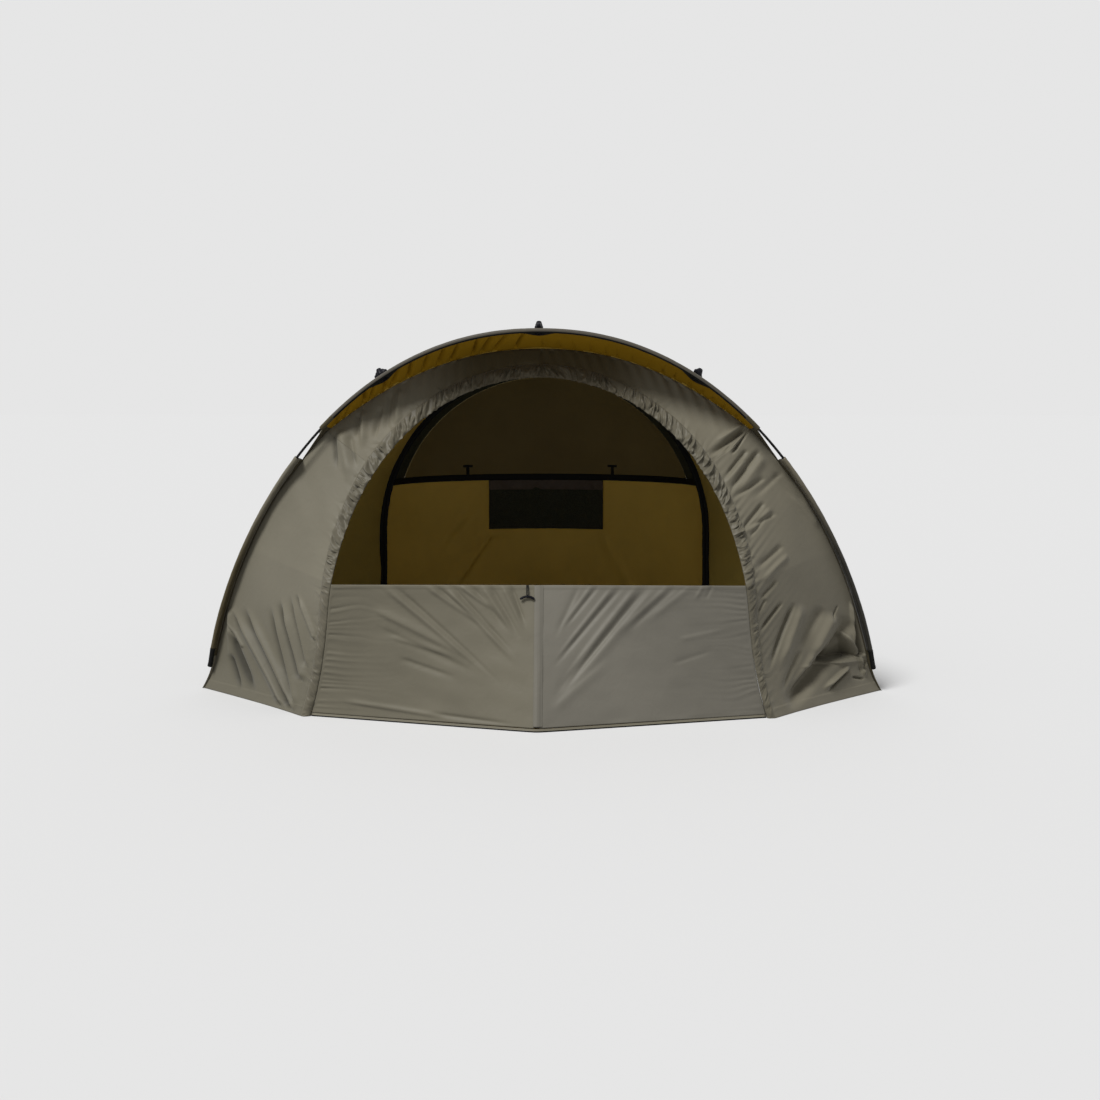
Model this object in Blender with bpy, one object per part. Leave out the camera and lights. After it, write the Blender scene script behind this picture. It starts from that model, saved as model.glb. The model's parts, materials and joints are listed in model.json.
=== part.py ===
"""A one-person bivvy tent: two pole hoops in fabric sleeves, a stretched canopy, a rear dome with
a mesh window, a zip-on front wall with an elasticated arch, and a pair of low zip doors.

Metres, +Z up. The front faces -Y, and the origin is on the ground under the middle of the tent.
"""

import math
from bisect import bisect_right

import bmesh
import bpy
from mathutils import Matrix, Vector
from mathutils.bvhtree import BVHTree

# Clearances
GAP = 0.0003  # between pieces that lie face to face
SEAM_GAP = 0.0008  # between cloth edges that meet at an angle
HEM_LIFT = 0.0008  # keeps a tilted hem's edge out of the ground
CUT_OVERRUN = 0.020  # how far a cutter runs past what it cuts

# Footprint, measured from the line between the front hoop's feet
FRONT_REACH = 0.592  # to the middle of the sill
CORNER_REACH = 0.389  # to the door's bottom corners
DOOR_TOP_REACH = 0.420  # to the door's top edge
REAR_HOOP_SET = 0.780  # to the rear hoop
REAR_DEPTH = 0.420  # rear hoop to the shoulder of the rear wall
REAR_FLARE = 0.050  # extra reach of the rear wall at the ground
FABRIC = 0.003
SILL_THICKNESS = 0.005
FRONT_END = FRONT_REACH + SILL_THICKNESS / 2
REAR_END = REAR_HOOP_SET + REAR_DEPTH + REAR_FLARE + FABRIC / 2
FEET_Y = (FRONT_END - REAR_END) / 2
REAR_Y = FEET_Y + REAR_HOOP_SET

# Fabric
MESH_FABRIC = 0.002
TAPE = 0.0015
CANOPY_SAG = 0.060  # how far the canopy dips between the hoops

# Front hoop
HOOP_HALF_WIDTH = 1.300
HOOP_HEIGHT = 1.395
HOOP_CROWN_REACH = 0.300  # of its crown ahead of its feet
HOOP_SIDE_POWER = 2.15
HOOP_TOP_POWER = 0.66
HOOP_FOOT_HEIGHT = 0.100
CANOPY_HEM_FLARE = 0.035
CANOPY_FLARE_HEIGHT = 0.120
FRONT_SECTIONS = 5

# Rear hoop
REAR_RADIUS = 0.738
REAR_CENTRE_HEIGHT = 0.528
REAR_FOOT_HEIGHT = 0.030
REAR_SECTIONS = 3

# Poles, ferrules, sleeves and feet
HOOP_STATIONS = 30
POLE_RADIUS = 0.00475
FERRULE_WALL = 0.0012
FERRULE_LENGTH = 0.060
SLEEVE_WALL = 0.0018
FOOT_DEPTH = 0.070  # how far a pole stands in its foot pocket
FOOT_BASE = 0.008  # the pocket's closed end
FERRULE_BORE = POLE_RADIUS + GAP
FERRULE_RADIUS = FERRULE_BORE + FERRULE_WALL
SLEEVE_BORE = FERRULE_RADIUS + GAP
SLEEVE_RADIUS = SLEEVE_BORE + SLEEVE_WALL
SLEEVE_EDGE = SLEEVE_RADIUS + SEAM_GAP

# The bare stretch of the front pole and the cut-away beside it
NOTCH_DROP = 0.365  # its top end below the hoop's crown
NOTCH_RISE = 0.110  # from its bottom end to its top end
NOTCH_TOP_HEIGHT = HOOP_HEIGHT - NOTCH_DROP
NOTCH_BOTTOM_HEIGHT = NOTCH_TOP_HEIGHT - NOTCH_RISE
NOTCH_DEPTH = 0.042
NOTCH_POWER = 0.7

# How finely the canopy and the front wall bend
SIDE_ROWS = 11
NOTCH_ROWS = 4
SHOULDER_ROWS = 4  # from the notch to the flat at a side fitting
CROWN_ROWS = 7  # from there to the flat at the middle fitting
CANOPY_COLUMNS = 8
WALL_COLUMNS = 8
WALL_TOP_COLUMNS = 3

# Front wall
WALL_SET_CROWN_SHARE = 0.185  # of the way back to the rear hoop
WALL_SET_SIDE_SHARE = 0.042
WALL_SET_FOOT_SHARE = 0.024
WALL_FOOT_HEIGHT = 0.250
WALL_CLEARANCE = 0.0035  # the wall's edge below the canopy's middle
WALL_FOLD = 0.010
WALL_FOLDS = 6
WALL_FAN_SHARE = 0.25  # how far outside the opening the creases meet
WALL_FAN_SPREAD = 4

# Door opening
OPENING_HALF_WIDTH = 0.768
OPENING_DROP = 0.1725  # its top below the hoop's crown
OPENING_HEIGHT = HOOP_HEIGHT - OPENING_DROP
OPENING_SIDE_POWER = 3.0
OPENING_TOP_POWER = 0.52
OPENING_FLARE = 0.055
OPENING_FLARE_HEIGHT = 0.350
OPENING_TOP_REACH = 0.155
BINDING_WIDTH = 0.055
BINDING_FRONT = 0.009
BINDING_EDGE = 0.0012
RUFFLE_DEPTH = 0.003

# Sill, doors and zip
SILL_HEIGHT = 0.012
DOOR_LIFT = 0.0008  # door's bottom edge above the sill
HINGE_LIFT = 0.003  # door's swing line above its bottom edge
DOOR_HEIGHT = 0.480
DOOR_SIDE_CLEARANCE = 0.0035
DOOR_FOLD = 0.007
DOOR_FOLDS = 7
DOOR_FOLD_START_SHARE = 0.67  # of the door's height, over which the creases deepen
DOOR_ROWS = 10
DOOR_COLUMNS = 16
ZIP_TAPE_WIDTH = 0.010
ZIP_GAP = 0.0012  # between the two tapes, which meet at an angle
SLIDER_WIDTH = 0.008
SLIDER_LENGTH = 0.014
SLIDER_THICKNESS = 0.005
SLIDER_DROP = 0.012  # below the door's top edge
SLIDER_CLEARANCE = 0.0009  # the tapes turn away from each other lower down
TOGGLE_LENGTH = 0.052
TOGGLE_RADIUS = 0.0050
TOGGLE_BOW = 0.010
TOGGLE_TIP_SHARE = 0.62  # of its thickness, left at its ends
TOGGLE_SET = 0.037  # its middle, left of the zip
TOGGLE_DROP = 0.040
TOGGLE_RINGS = 10
TOGGLE_SIDES = 8
LOOP_ROWS = 4
LOOP_WIDTH = 0.009
LOOP_THICKNESS = 0.0015
LOOP_CLEARANCE = 0.0008  # the loop lies on cloth that isn't quite flat

# Rear dome
MESH_BAND_WIDTH = 0.048
MESH_BAND_INNER_RADIUS = REAR_RADIUS - MESH_BAND_WIDTH
SEAM_HEIGHT = 0.735
SEAM_TAPE_HEIGHT = 0.030
TAPE_LIFT = 0.0012  # off the lining, which isn't quite flat
WINDOW_HALF_WIDTH = 0.275
WINDOW_BOTTOM = 0.482
WINDOW_HEADER_HEIGHT = 0.046
FLAP_MARGIN = 0.025
FLAP_CLEARANCE = 0.0012
STRAP_LEFT_X = -0.372
STRAP_RIGHT_X = 0.318
STRAP_WIDTH = 0.013
STRAP_HEIGHT = 0.046
STRAP_BAR_WIDTH = 0.044
STRAP_BAR_HEIGHT = 0.011

# How finely the rear wall and the dome bend
LOWER_ROWS = 5
WINDOW_ROWS = 3
BESIDE_COLUMNS = 8
WINDOW_COLUMNS = 6
MESH_BAND_ROWS = 4
DOME_COLUMNS = 24
DOME_ROWS = 6
BLUNT_SHARE = 0.25

# Storm-pole fittings on the front edge
STORM_SET = 0.024  # fitting's middle behind the hoop
STORM_SIDE_X = 0.585
STORM_FLAT = 0.040  # the flat facet that each fitting stands on
PATCH_HALF_WIDTH = 0.085
PATCH_DEPTH = 0.060
PATCH_ROWS = 3
PATCH_COLUMNS = 6
BOSS_NECK_RADIUS = 0.0060
BOSS_FLANGE_RADIUS = 0.0135
BOSS_FLANGE = 0.0030
BOSS_STUD_RADIUS = 0.0035
BOSS_STUD_LENGTH = 0.026
SOCKET_RADIUS = 0.0030
SOCKET_DEPTH = 0.0060
CAP_RADIUS = 0.0165
CAP_HEIGHT = 0.040
CAP_NECK_RADIUS = 0.0105
CAP_TOP_RADIUS = 0.0070
CAP_HEIGHT_SHARES = (0.0, 0.26, 0.46, 0.72, 0.88, 1.0)  # of its outline's points
WING_REACH = 0.0300  # from the screw's axis to a wing's tip
WING_RISE = 0.0040  # how far a wing's tip stands up
WING_SHARPNESS = 10
CAP_TURNS = {"left": 0.0, "centre": 0.5, "right": 0.22}  # half turns, as the caps stand

KHAKI = ((0.135, 0.125, 0.100, 1.0), 0.62, 0.0)
KHAKI_DARK = ((0.055, 0.045, 0.025, 1.0), 0.70, 0.0)
GOLD_BROWN = ((0.085, 0.060, 0.020, 1.0), 0.70, 0.0)
BLACK_TAPE = ((0.010, 0.010, 0.010, 1.0), 0.80, 0.0)
BLACK_PLASTIC = ((0.012, 0.012, 0.014, 1.0), 0.35, 0.0)
FIBREGLASS = ((0.008, 0.008, 0.008, 1.0), 0.40, 0.0)
STEEL = ((0.45, 0.45, 0.47, 1.0), 0.35, 1.0)


class Path:
    """A line through points, read by share of its length from 0 (left foot) to 1 (right foot)."""

    def __init__(self, points):
        self.points = points
        self.lengths = [0.0]
        for here, there in zip(points, points[1:]):
            self.lengths.append(self.lengths[-1] + (there - here).length)
        self.length = self.lengths[-1]

    def at(self, share):
        distance = min(max(share, 0.0), 1.0) * self.length
        index = min(bisect_right(self.lengths, distance), len(self.points) - 1) - 1
        step = self.lengths[index + 1] - self.lengths[index]
        part = (distance - self.lengths[index]) / step
        return self.points[index].lerp(self.points[index + 1], part)

    def tangent(self, share):
        step = 1 / len(self.points)
        low, high = max(share - step, 0.0), min(share + step, 1.0)
        return (self.at(high) - self.at(low)).normalized()

    def share_where(self, passed):
        """The first share, from the left foot, at which passed(point) turns true."""
        low, high = 0.0, 0.5
        for _ in range(40):
            middle = (low + high) / 2
            if passed(self.at(middle)):
                high = middle
            else:
                low = middle
        return high

    def share_at_height(self, height):
        return self.share_where(lambda point: point.z >= height)


def material(name, finish):
    colour, roughness, metallic = finish
    made = bpy.data.materials.get(name) or bpy.data.materials.new(name)
    made.use_nodes = True
    shader = made.node_tree.nodes["Principled BSDF"]
    shader.inputs["Base Color"].default_value = colour
    shader.inputs["Roughness"].default_value = roughness
    shader.inputs["Metallic"].default_value = metallic
    return made


def new_object(name, vertices, faces, look):
    """A mesh object with its faces turned outwards."""
    mesh = bpy.data.meshes.new(name)
    mesh.from_pydata([tuple(v) for v in vertices], [], faces)
    work = bmesh.new()
    work.from_mesh(mesh)
    bmesh.ops.recalc_face_normals(work, faces=work.faces)
    work.to_mesh(mesh)
    work.free()
    made = bpy.data.objects.new(name, mesh)
    made.data.materials.append(material(*look))
    bpy.context.scene.collection.objects.link(made)
    return made


def smooth_shading(thing, angle=math.radians(35)):
    thing.data.shade_smooth()
    thing.data.set_sharp_from_angle(angle=angle)


def spread(low, high, count):
    """count + 1 values from low to high."""
    return [low + (high - low) * i / count for i in range(count + 1)]


def grid_normals(grid):
    """The surface's normal at each point of a grid of rows."""
    rows, columns = len(grid), len(grid[0])
    normals = []
    for i in range(rows):
        line = []
        for j in range(columns):
            along = grid[min(i + 1, rows - 1)][j] - grid[max(i - 1, 0)][j]
            across = grid[i][min(j + 1, columns - 1)] - grid[i][max(j - 1, 0)]
            line.append(along.cross(across).normalized())
        normals.append(line)
    return normals


def shifted(grid, distance, towards):
    """The grid moved along its normals by distance, to the side on which towards lies."""
    moved = []
    for points, normals in zip(grid, grid_normals(grid)):
        line = []
        for point, normal in zip(points, normals):
            side = 1 if normal.dot(towards - point) > 0 else -1
            line.append(point + normal * side * distance)
        moved.append(line)
    return moved


def sheet(name, grid, thickness, look, left_out=()):
    """Cloth along a grid of points: a surface given thickness by a Solidify modifier.

    left_out holds the (row, column) cells that a window leaves open.
    """
    columns = len(grid[0])
    vertices = [point for row in grid for point in row]
    faces = []
    for i in range(len(grid) - 1):
        for j in range(columns - 1):
            if (i, j) not in left_out:
                first = i * columns + j
                faces.append((first, first + 1, first + columns + 1, first + columns))
    made = new_object(name, vertices, faces, look)
    thicken = made.modifiers.new("Thickness", "SOLIDIFY")
    thicken.thickness = thickness
    thicken.offset = 0
    thicken.use_even_offset = True
    smooth_shading(made)
    return made


def loft(name, rings, look, closed=False):
    """A solid through rings of points, with its ends capped, or joined if it is closed."""
    sides = len(rings[0])
    vertices = [point for ring in rings for point in ring]
    faces = []
    for i in range(len(rings) if closed else len(rings) - 1):
        here, there = i * sides, (i + 1) % len(rings) * sides
        for j in range(sides):
            k = (j + 1) % sides
            faces.append((here + j, here + k, there + k, there + j))
    if not closed:
        faces.append(tuple(range(sides)))
        faces.append(tuple(range(len(vertices) - sides, len(vertices))))
    made = new_object(name, vertices, faces, look)
    smooth_shading(made)
    return made


def swept(name, path, stations, profile, look, closed=False, sides=8):
    """A round profile of (share, radius) points, swept along a path that lies in one plane."""
    plane = path.tangent(0.4).cross(path.tangent(0.6)).normalized()
    legs = list(zip(profile, profile[1:] + profile[:1] if closed else profile[1:]))
    rings = []
    for (start, first), (end, last) in legs:
        low, high = min(start, end), max(start, end)
        inner = sorted((s for s in stations if low < s < high), reverse=end < start)
        for share in [start, *inner]:
            part = (share - start) / (end - start) if end != start else 0
            rings.append((share, first + (last - first) * part))
    if not closed:
        rings.append(profile[-1])
    placed = []
    for share, radius in rings:
        centre = path.at(share)
        outward = path.tangent(share).cross(plane).normalized()
        angles = [2 * math.pi * (k + 0.5) / sides for k in range(sides)]
        placed.append(
            [
                centre + radius * (math.cos(a) * outward + math.sin(a) * plane)
                for a in angles
            ]
        )
    return loft(name, placed, look, closed)


def turned(name, profile, look, sides=16, shape=None):
    """A solid of revolution about +Z from (radius, height) points, or one that shape changes."""
    rings = []
    for radius, height in profile:
        ring = []
        for k in range(sides):
            angle = 2 * math.pi * k / sides
            reach, rise = shape(radius, height, angle) if shape else (radius, height)
            ring.append(Vector((reach * math.cos(angle), reach * math.sin(angle), rise)))
        rings.append(ring)
    return loft(name, rings, look)


def pivot(name, origin, along, pieces):
    """An empty on a joint's axis, with its X axis along it, that carries the moving pieces."""
    empty = bpy.data.objects.new(name, None)
    bpy.context.scene.collection.objects.link(empty)
    turn = Vector((1, 0, 0)).rotation_difference(along).to_matrix().to_4x4()
    empty.matrix_world = Matrix.Translation(origin) @ turn
    for piece in pieces:
        piece.parent = empty
        piece.matrix_parent_inverse = empty.matrix_world.inverted()


def cut(target, cutter):
    """Takes the cutter's shape out of the target."""
    cutter.hide_render = True
    cutter.display_type = "WIRE"
    made = target.modifiers.new(cutter.name, "BOOLEAN")
    made.operation = "DIFFERENCE"
    made.solver = "EXACT"
    made.object = cutter


def front_curve():
    """The front edge of the canopy, from the left hem over the crown to the right hem."""
    points = []
    fine = 240
    for i in range(-fine, fine + 1):
        angle = i / fine * math.pi / 2
        across = abs(math.sin(angle))
        rise = max(1 - across**HOOP_SIDE_POWER, 0.0) ** HOOP_TOP_POWER
        z = HEM_LIFT + (HOOP_HEIGHT - HEM_LIFT) * rise
        x = HOOP_HALF_WIDTH * math.sin(angle)
        flare = CANOPY_HEM_FLARE * max(0.0, 1 - z / CANOPY_FLARE_HEIGHT) ** 2
        y = FEET_Y - HOOP_CROWN_REACH * z / HOOP_HEIGHT
        points.append(Vector((x + math.copysign(flare, x), y, z)))
    return Path(points)


def rear_curve():
    """The rear hoop: a half circle on two upright legs."""
    fine = 120
    points = [
        Vector((-REAR_RADIUS, REAR_Y, z))
        for z in spread(HEM_LIFT, REAR_CENTRE_HEIGHT, fine)[:-1]
    ]
    for angle in spread(-math.pi / 2, math.pi / 2, 2 * fine):
        x = REAR_RADIUS * math.sin(angle)
        z = REAR_CENTRE_HEIGHT + REAR_RADIUS * math.cos(angle)
        points.append(Vector((x, REAR_Y, z)))
    points += [
        Vector((REAR_RADIUS, REAR_Y, z))
        for z in spread(REAR_CENTRE_HEIGHT, HEM_LIFT, fine)[1:]
    ]
    return Path(points)


FRONT = front_curve()
REAR = rear_curve()
SEAM_SHARE = FRONT.share_at_height(NOTCH_BOTTOM_HEIGHT)
NOTCH_TOP_SHARE = FRONT.share_at_height(NOTCH_TOP_HEIGHT)


def storm_shares():
    side = FRONT.share_where(lambda point: point.x >= -STORM_SIDE_X)
    return {"left": side, "centre": 0.5, "right": 1 - side}


def canopy_shares():
    """The shares at which the canopy and the front wall bend, with a flat at each fitting."""
    half = STORM_FLAT / 2 / FRONT.length
    fitting = storm_shares()["left"]
    left = spread(0.0, SEAM_SHARE, SIDE_ROWS)
    left += spread(SEAM_SHARE, NOTCH_TOP_SHARE, NOTCH_ROWS)[1:]
    left += spread(NOTCH_TOP_SHARE, fitting - half, SHOULDER_ROWS)[1:]
    left += spread(fitting + half, 0.5 - half, CROWN_ROWS)
    return left + [1 - share for share in reversed(left)]


def on_chord(share, place):
    """place(share), but on the straight line between the two nearest of the canopy's bends."""
    index = min(max(bisect_right(BENDS, share), 1), len(BENDS) - 1)
    low, high = BENDS[index - 1], BENDS[index]
    return place(low).lerp(place(high), (share - low) / (high - low))


def inward_at(share):
    """The direction from the canopy to the inside of the tent."""
    angle = (share - 0.5) * math.pi
    return Vector((-math.sin(angle), 0, -math.cos(angle)))


def canopy_point(share, back):
    """A point of the canopy: share along the hoops, back from the front hoop to the rear one."""
    dip = CANOPY_SAG * 4 * back * (1 - back) * math.sin(math.pi * share)
    return FRONT.at(share).lerp(REAR.at(share), back) + inward_at(share) * dip


def back_by(share, distance):
    """The share of the way back that lies this far behind the front hoop."""
    return distance / (REAR.at(share) - FRONT.at(share)).length


def wall_set(share):
    """How far back the front wall meets the canopy, as a share of the way to the rear hoop."""
    from_middle = abs(share - 0.5) / (0.5 - NOTCH_TOP_SHARE)
    if from_middle < 1:
        extra = WALL_SET_CROWN_SHARE - WALL_SET_SIDE_SHARE
        return WALL_SET_SIDE_SHARE + extra * (1 - from_middle**2)
    rise = min(1.0, FRONT.at(share).z / WALL_FOOT_HEIGHT)
    return WALL_SET_FOOT_SHARE + (WALL_SET_SIDE_SHARE - WALL_SET_FOOT_SHARE) * rise


def wall_outer(share):
    """The front wall's outer edge, just under the canopy."""
    point = canopy_point(share, wall_set(share)) + inward_at(share) * WALL_CLEARANCE
    return Vector((point.x, point.y, max(point.z, HEM_LIFT)))


def opening_half_width(z):
    """Half the width of the door opening at a height."""
    level = min(max(z / OPENING_HEIGHT, 0.0), 1.0)
    flare = OPENING_FLARE * max(0.0, 1 - z / OPENING_FLARE_HEIGHT) ** 2
    return OPENING_HALF_WIDTH * (1 - level**OPENING_SIDE_POWER) ** OPENING_TOP_POWER + flare


def opening_y(z):
    """The opening's edge leans back above the door, and stands nearly upright beside it."""
    if z < DOOR_HEIGHT:
        return FEET_Y - CORNER_REACH + (CORNER_REACH - DOOR_TOP_REACH) * z / DOOR_HEIGHT
    rise = (z - DOOR_HEIGHT) / (OPENING_HEIGHT - DOOR_HEIGHT)
    return FEET_Y - DOOR_TOP_REACH + (DOOR_TOP_REACH - OPENING_TOP_REACH) * rise


def opening_curve():
    points = []
    fine = 200
    for i in range(-fine, fine + 1):
        angle = i / fine * math.pi / 2
        across = abs(math.sin(angle)) ** (1 / OPENING_TOP_POWER)
        rise = max(1 - across, 0.0) ** (1 / OPENING_SIDE_POWER)
        z = HEM_LIFT + (OPENING_HEIGHT - HEM_LIFT) * rise
        x = math.copysign(opening_half_width(z), i) if i else 0.0
        points.append(Vector((x, opening_y(z), z)))
    return Path(points)


BENDS = canopy_shares()
OPENING = opening_curve()


def front_point(share, out):
    """A point of the front face: out runs from the opening's edge (0) to the canopy (1)."""
    return OPENING.at(share).lerp(wall_outer(share), out)


def out_by(share, distance):
    return distance / (wall_outer(share) - OPENING.at(share)).length


def stations_of(path, foot_share, sections, extra):
    """The shares at which everything swept along a hoop has a ring, so that it nests."""
    uniform = spread(foot_share, 1 - foot_share, HOOP_STATIONS)
    half = FERRULE_LENGTH / 2 / path.length
    joins = section_joins(foot_share, sections)
    pocket = foot_share + FOOT_DEPTH / path.length
    ends = [pocket, 1 - pocket]
    return sorted(uniform + extra + ends + [j + d for j in joins for d in (-half, 0, half)])


def section_joins(foot_share, sections):
    return spread(foot_share, 1 - foot_share, sections)[1:-1]


def make_poles(prefix, path, foot_share, names, stations):
    """The pole's sections, end to end, with a steel ferrule over each join."""
    sections = len(names)
    ends = spread(foot_share, 1 - foot_share, sections)
    slack = GAP / 2 / path.length
    look = ("fibreglass", FIBREGLASS)
    for name, start, end in zip(names, ends, ends[1:]):
        low = start + (slack if start > foot_share else 0)
        high = end - (slack if end < 1 - foot_share else 0)
        profile = [(low, POLE_RADIUS), (high, POLE_RADIUS)]
        swept(f"{prefix}_pole_{name}", path, stations, profile, look)
    half = FERRULE_LENGTH / 2 / path.length
    for index, join in enumerate(ends[1:-1]):
        low, high = join - half, join + half
        ring = [
            (low, FERRULE_RADIUS),
            (high, FERRULE_RADIUS),
            (high, FERRULE_BORE),
            (low, FERRULE_BORE),
        ]
        name = f"{prefix}_ferrule_{index + 1}"
        swept(name, path, stations, ring, ("steel", STEEL), closed=True)


def make_sleeve(name, path, stations, start, end, look):
    ring = [
        (start, SLEEVE_RADIUS),
        (end, SLEEVE_RADIUS),
        (end, SLEEVE_BORE),
        (start, SLEEVE_BORE),
    ]
    swept(name, path, stations, ring, look, closed=True)


def make_foot(name, path, stations, pole_end, into):
    """A webbing pocket that the pole stands in. into is +1 at a left foot and -1 at a right one."""
    bottom = pole_end - into * (FOOT_BASE + GAP) / path.length
    floor = pole_end - into * GAP / path.length
    top = pole_end + into * FOOT_DEPTH / path.length
    bore = POLE_RADIUS + GAP
    profile = [(bottom, SLEEVE_RADIUS), (top, SLEEVE_RADIUS), (top, bore), (floor, bore)]
    swept(name, path, stations, profile, ("black_tape", BLACK_TAPE))


def make_frame():
    """Both hoops with their sections, ferrules, sleeves and foot pockets."""
    black = ("black_tape", BLACK_TAPE)
    khaki = ("khaki_fabric", KHAKI)
    foot = FRONT.share_at_height(HOOP_FOOT_HEIGHT)
    extra = [SEAM_SHARE, NOTCH_TOP_SHARE, 1 - NOTCH_TOP_SHARE, 1 - SEAM_SHARE]
    stations = stations_of(FRONT, foot, FRONT_SECTIONS, extra)
    names = ["left_lower", "left_upper", "crown", "right_upper", "right_lower"]
    make_poles("front", FRONT, foot, names, stations)
    above_foot = foot + (FOOT_DEPTH + GAP) / FRONT.length
    make_sleeve("front_sleeve_left", FRONT, stations, above_foot, SEAM_SHARE, khaki)
    crown = (NOTCH_TOP_SHARE, 1 - NOTCH_TOP_SHARE)
    make_sleeve("front_sleeve_crown", FRONT, stations, *crown, khaki)
    right = (1 - SEAM_SHARE, 1 - above_foot)
    make_sleeve("front_sleeve_right", FRONT, stations, *right, khaki)
    make_foot("front_foot_left", FRONT, stations, foot, 1)
    make_foot("front_foot_right", FRONT, stations, 1 - foot, -1)

    foot = REAR.share_at_height(REAR_FOOT_HEIGHT)
    stations = stations_of(REAR, foot, REAR_SECTIONS, [])
    make_poles("rear", REAR, foot, ["left", "crown", "right"], stations)
    above_foot = foot + (FOOT_DEPTH + GAP) / REAR.length
    ends = (above_foot, 1 - above_foot)
    make_sleeve("rear_sleeve", REAR, stations, *ends, black)
    make_foot("rear_foot_left", REAR, stations, foot, 1)
    make_foot("rear_foot_right", REAR, stations, 1 - foot, -1)


def front_edge(share):
    """How far behind the hoop the cloth starts: at the sleeve, or cut away at the bare pole."""
    nearer = min(share, 1 - share)
    if nearer >= NOTCH_TOP_SHARE or nearer < SEAM_SHARE:
        return SLEEVE_EDGE
    part = (NOTCH_TOP_SHARE - nearer) / (NOTCH_TOP_SHARE - SEAM_SHARE)
    return SLEEVE_EDGE + (NOTCH_DEPTH - SLEEVE_EDGE) * part**NOTCH_POWER


def canopy_columns(share):
    """The shares of the way back at which the canopy has its columns of points."""
    start = back_by(share, front_edge(share))
    return spread(start, 1 - back_by(share, SLEEVE_EDGE), CANOPY_COLUMNS)


def canopy_grid(shares):
    """Rows along the hoops, from the front edge to the rear sleeve."""
    return [[canopy_point(share, back) for back in canopy_columns(share)] for share in shares]


def behind_hoop(share, distance):
    """A point of the canopy this far behind the front hoop, on the canopy's flat facets."""
    first, second = canopy_columns(share)[:2]
    part = (back_by(share, distance) - first) / (second - first)
    if not 0 <= part <= 1:
        return on_chord(share, lambda bend: canopy_point(bend, back_by(bend, distance)))
    near = on_chord(share, lambda bend: canopy_point(bend, canopy_columns(bend)[0]))
    far = on_chord(share, lambda bend: canopy_point(bend, canopy_columns(bend)[1]))
    return near.lerp(far, part)


def storm_place(share):
    """Where a storm-pole fitting stands: its matrix, with +Z out of the canopy."""
    reach = BOSS_FLANGE_RADIUS / FRONT.length
    centre = behind_hoop(share, STORM_SET)
    along = behind_hoop(share + reach, STORM_SET) - behind_hoop(share - reach, STORM_SET)
    behind = behind_hoop(share, STORM_SET + BOSS_FLANGE_RADIUS) - centre
    up = along.cross(behind).normalized()
    if up.dot(inward_at(share)) > 0:
        up = -up
    x = along.normalized()
    y = up.cross(x).normalized()
    return Matrix.Translation(centre) @ Matrix((x, y, up)).transposed().to_4x4()


def make_canopy():
    """The roof and the two sides, sewn together at the notches."""
    khaki = ("khaki_fabric", KHAKI)
    seam_slack = SEAM_GAP / FRONT.length
    shares = [share for share in BENDS if SEAM_SHARE <= share <= 1 - SEAM_SHARE]
    roof = sheet("canopy_roof", canopy_grid(shares), FABRIC, khaki)
    for side, share in storm_shares().items():
        bore = BOSS_NECK_RADIUS + GAP
        reach = FABRIC / 2 + CUT_OVERRUN
        cutter = turned(f"roof_cutter_{side}", [(bore, -reach), (bore, reach)], khaki)
        cutter.matrix_world = storm_place(share)
        cut(roof, cutter)
    lower = [share for share in BENDS if share < SEAM_SHARE] + [SEAM_SHARE - seam_slack]
    sheet("canopy_side_left", canopy_grid(lower), FABRIC, khaki)
    upper = [1 - share for share in reversed(lower)]
    sheet("canopy_side_right", canopy_grid(upper), FABRIC, khaki)


def winged(radius, height, angle):
    """Draws the storm cap's widest part out into two wings, whose tips turn up."""
    fullness = max(0.0, (radius - CAP_NECK_RADIUS) / (CAP_RADIUS - CAP_NECK_RADIUS))
    wing = fullness * abs(math.cos(angle)) ** WING_SHARPNESS
    return radius + (WING_REACH - CAP_RADIUS) * wing, height + WING_RISE * wing


def make_storm_fittings():
    """On the front edge: an inside patch, a boss through the cloth and a screw-down cap."""
    for side, share in storm_shares().items():
        place = storm_place(share)
        top = FABRIC / 2 + GAP
        under = -(FABRIC / 2 + GAP + TAPE + SEAM_GAP)
        flange, stud = top + BOSS_FLANGE, top + BOSS_FLANGE + BOSS_STUD_LENGTH
        bottom = under - BOSS_FLANGE
        profile = [
            (SOCKET_RADIUS, bottom + SOCKET_DEPTH),
            (SOCKET_RADIUS, bottom),
            (BOSS_FLANGE_RADIUS, bottom),
            (BOSS_FLANGE_RADIUS, under),
            (BOSS_NECK_RADIUS, under),
            (BOSS_NECK_RADIUS, top),
            (BOSS_FLANGE_RADIUS, top),
            (BOSS_FLANGE_RADIUS, flange),
            (BOSS_STUD_RADIUS, flange),
            (BOSS_STUD_RADIUS, stud),
        ]
        plastic = ("black_plastic", BLACK_PLASTIC)
        boss = turned(f"storm_boss_{side}", profile, plastic, sides=12)
        boss.matrix_world = place
        bore = BOSS_STUD_RADIUS + GAP
        seat = flange + GAP
        shoulder = (CAP_RADIUS + CAP_NECK_RADIUS) / 2
        radii = [CAP_NECK_RADIUS, CAP_RADIUS, CAP_RADIUS, shoulder, CAP_NECK_RADIUS]
        radii.append(CAP_TOP_RADIUS)
        profile = [(bore, stud + GAP), (bore, seat)]
        for radius, height_share in zip(radii, CAP_HEIGHT_SHARES):
            profile.append((radius, seat + height_share * CAP_HEIGHT))
        cap = turned(f"storm_cap_{side}", profile, plastic, sides=20, shape=winged)
        cap.matrix_world = place @ Matrix.Rotation(math.pi * CAP_TURNS[side], 4, "Z")
        make_patch(side, share, place)


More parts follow.
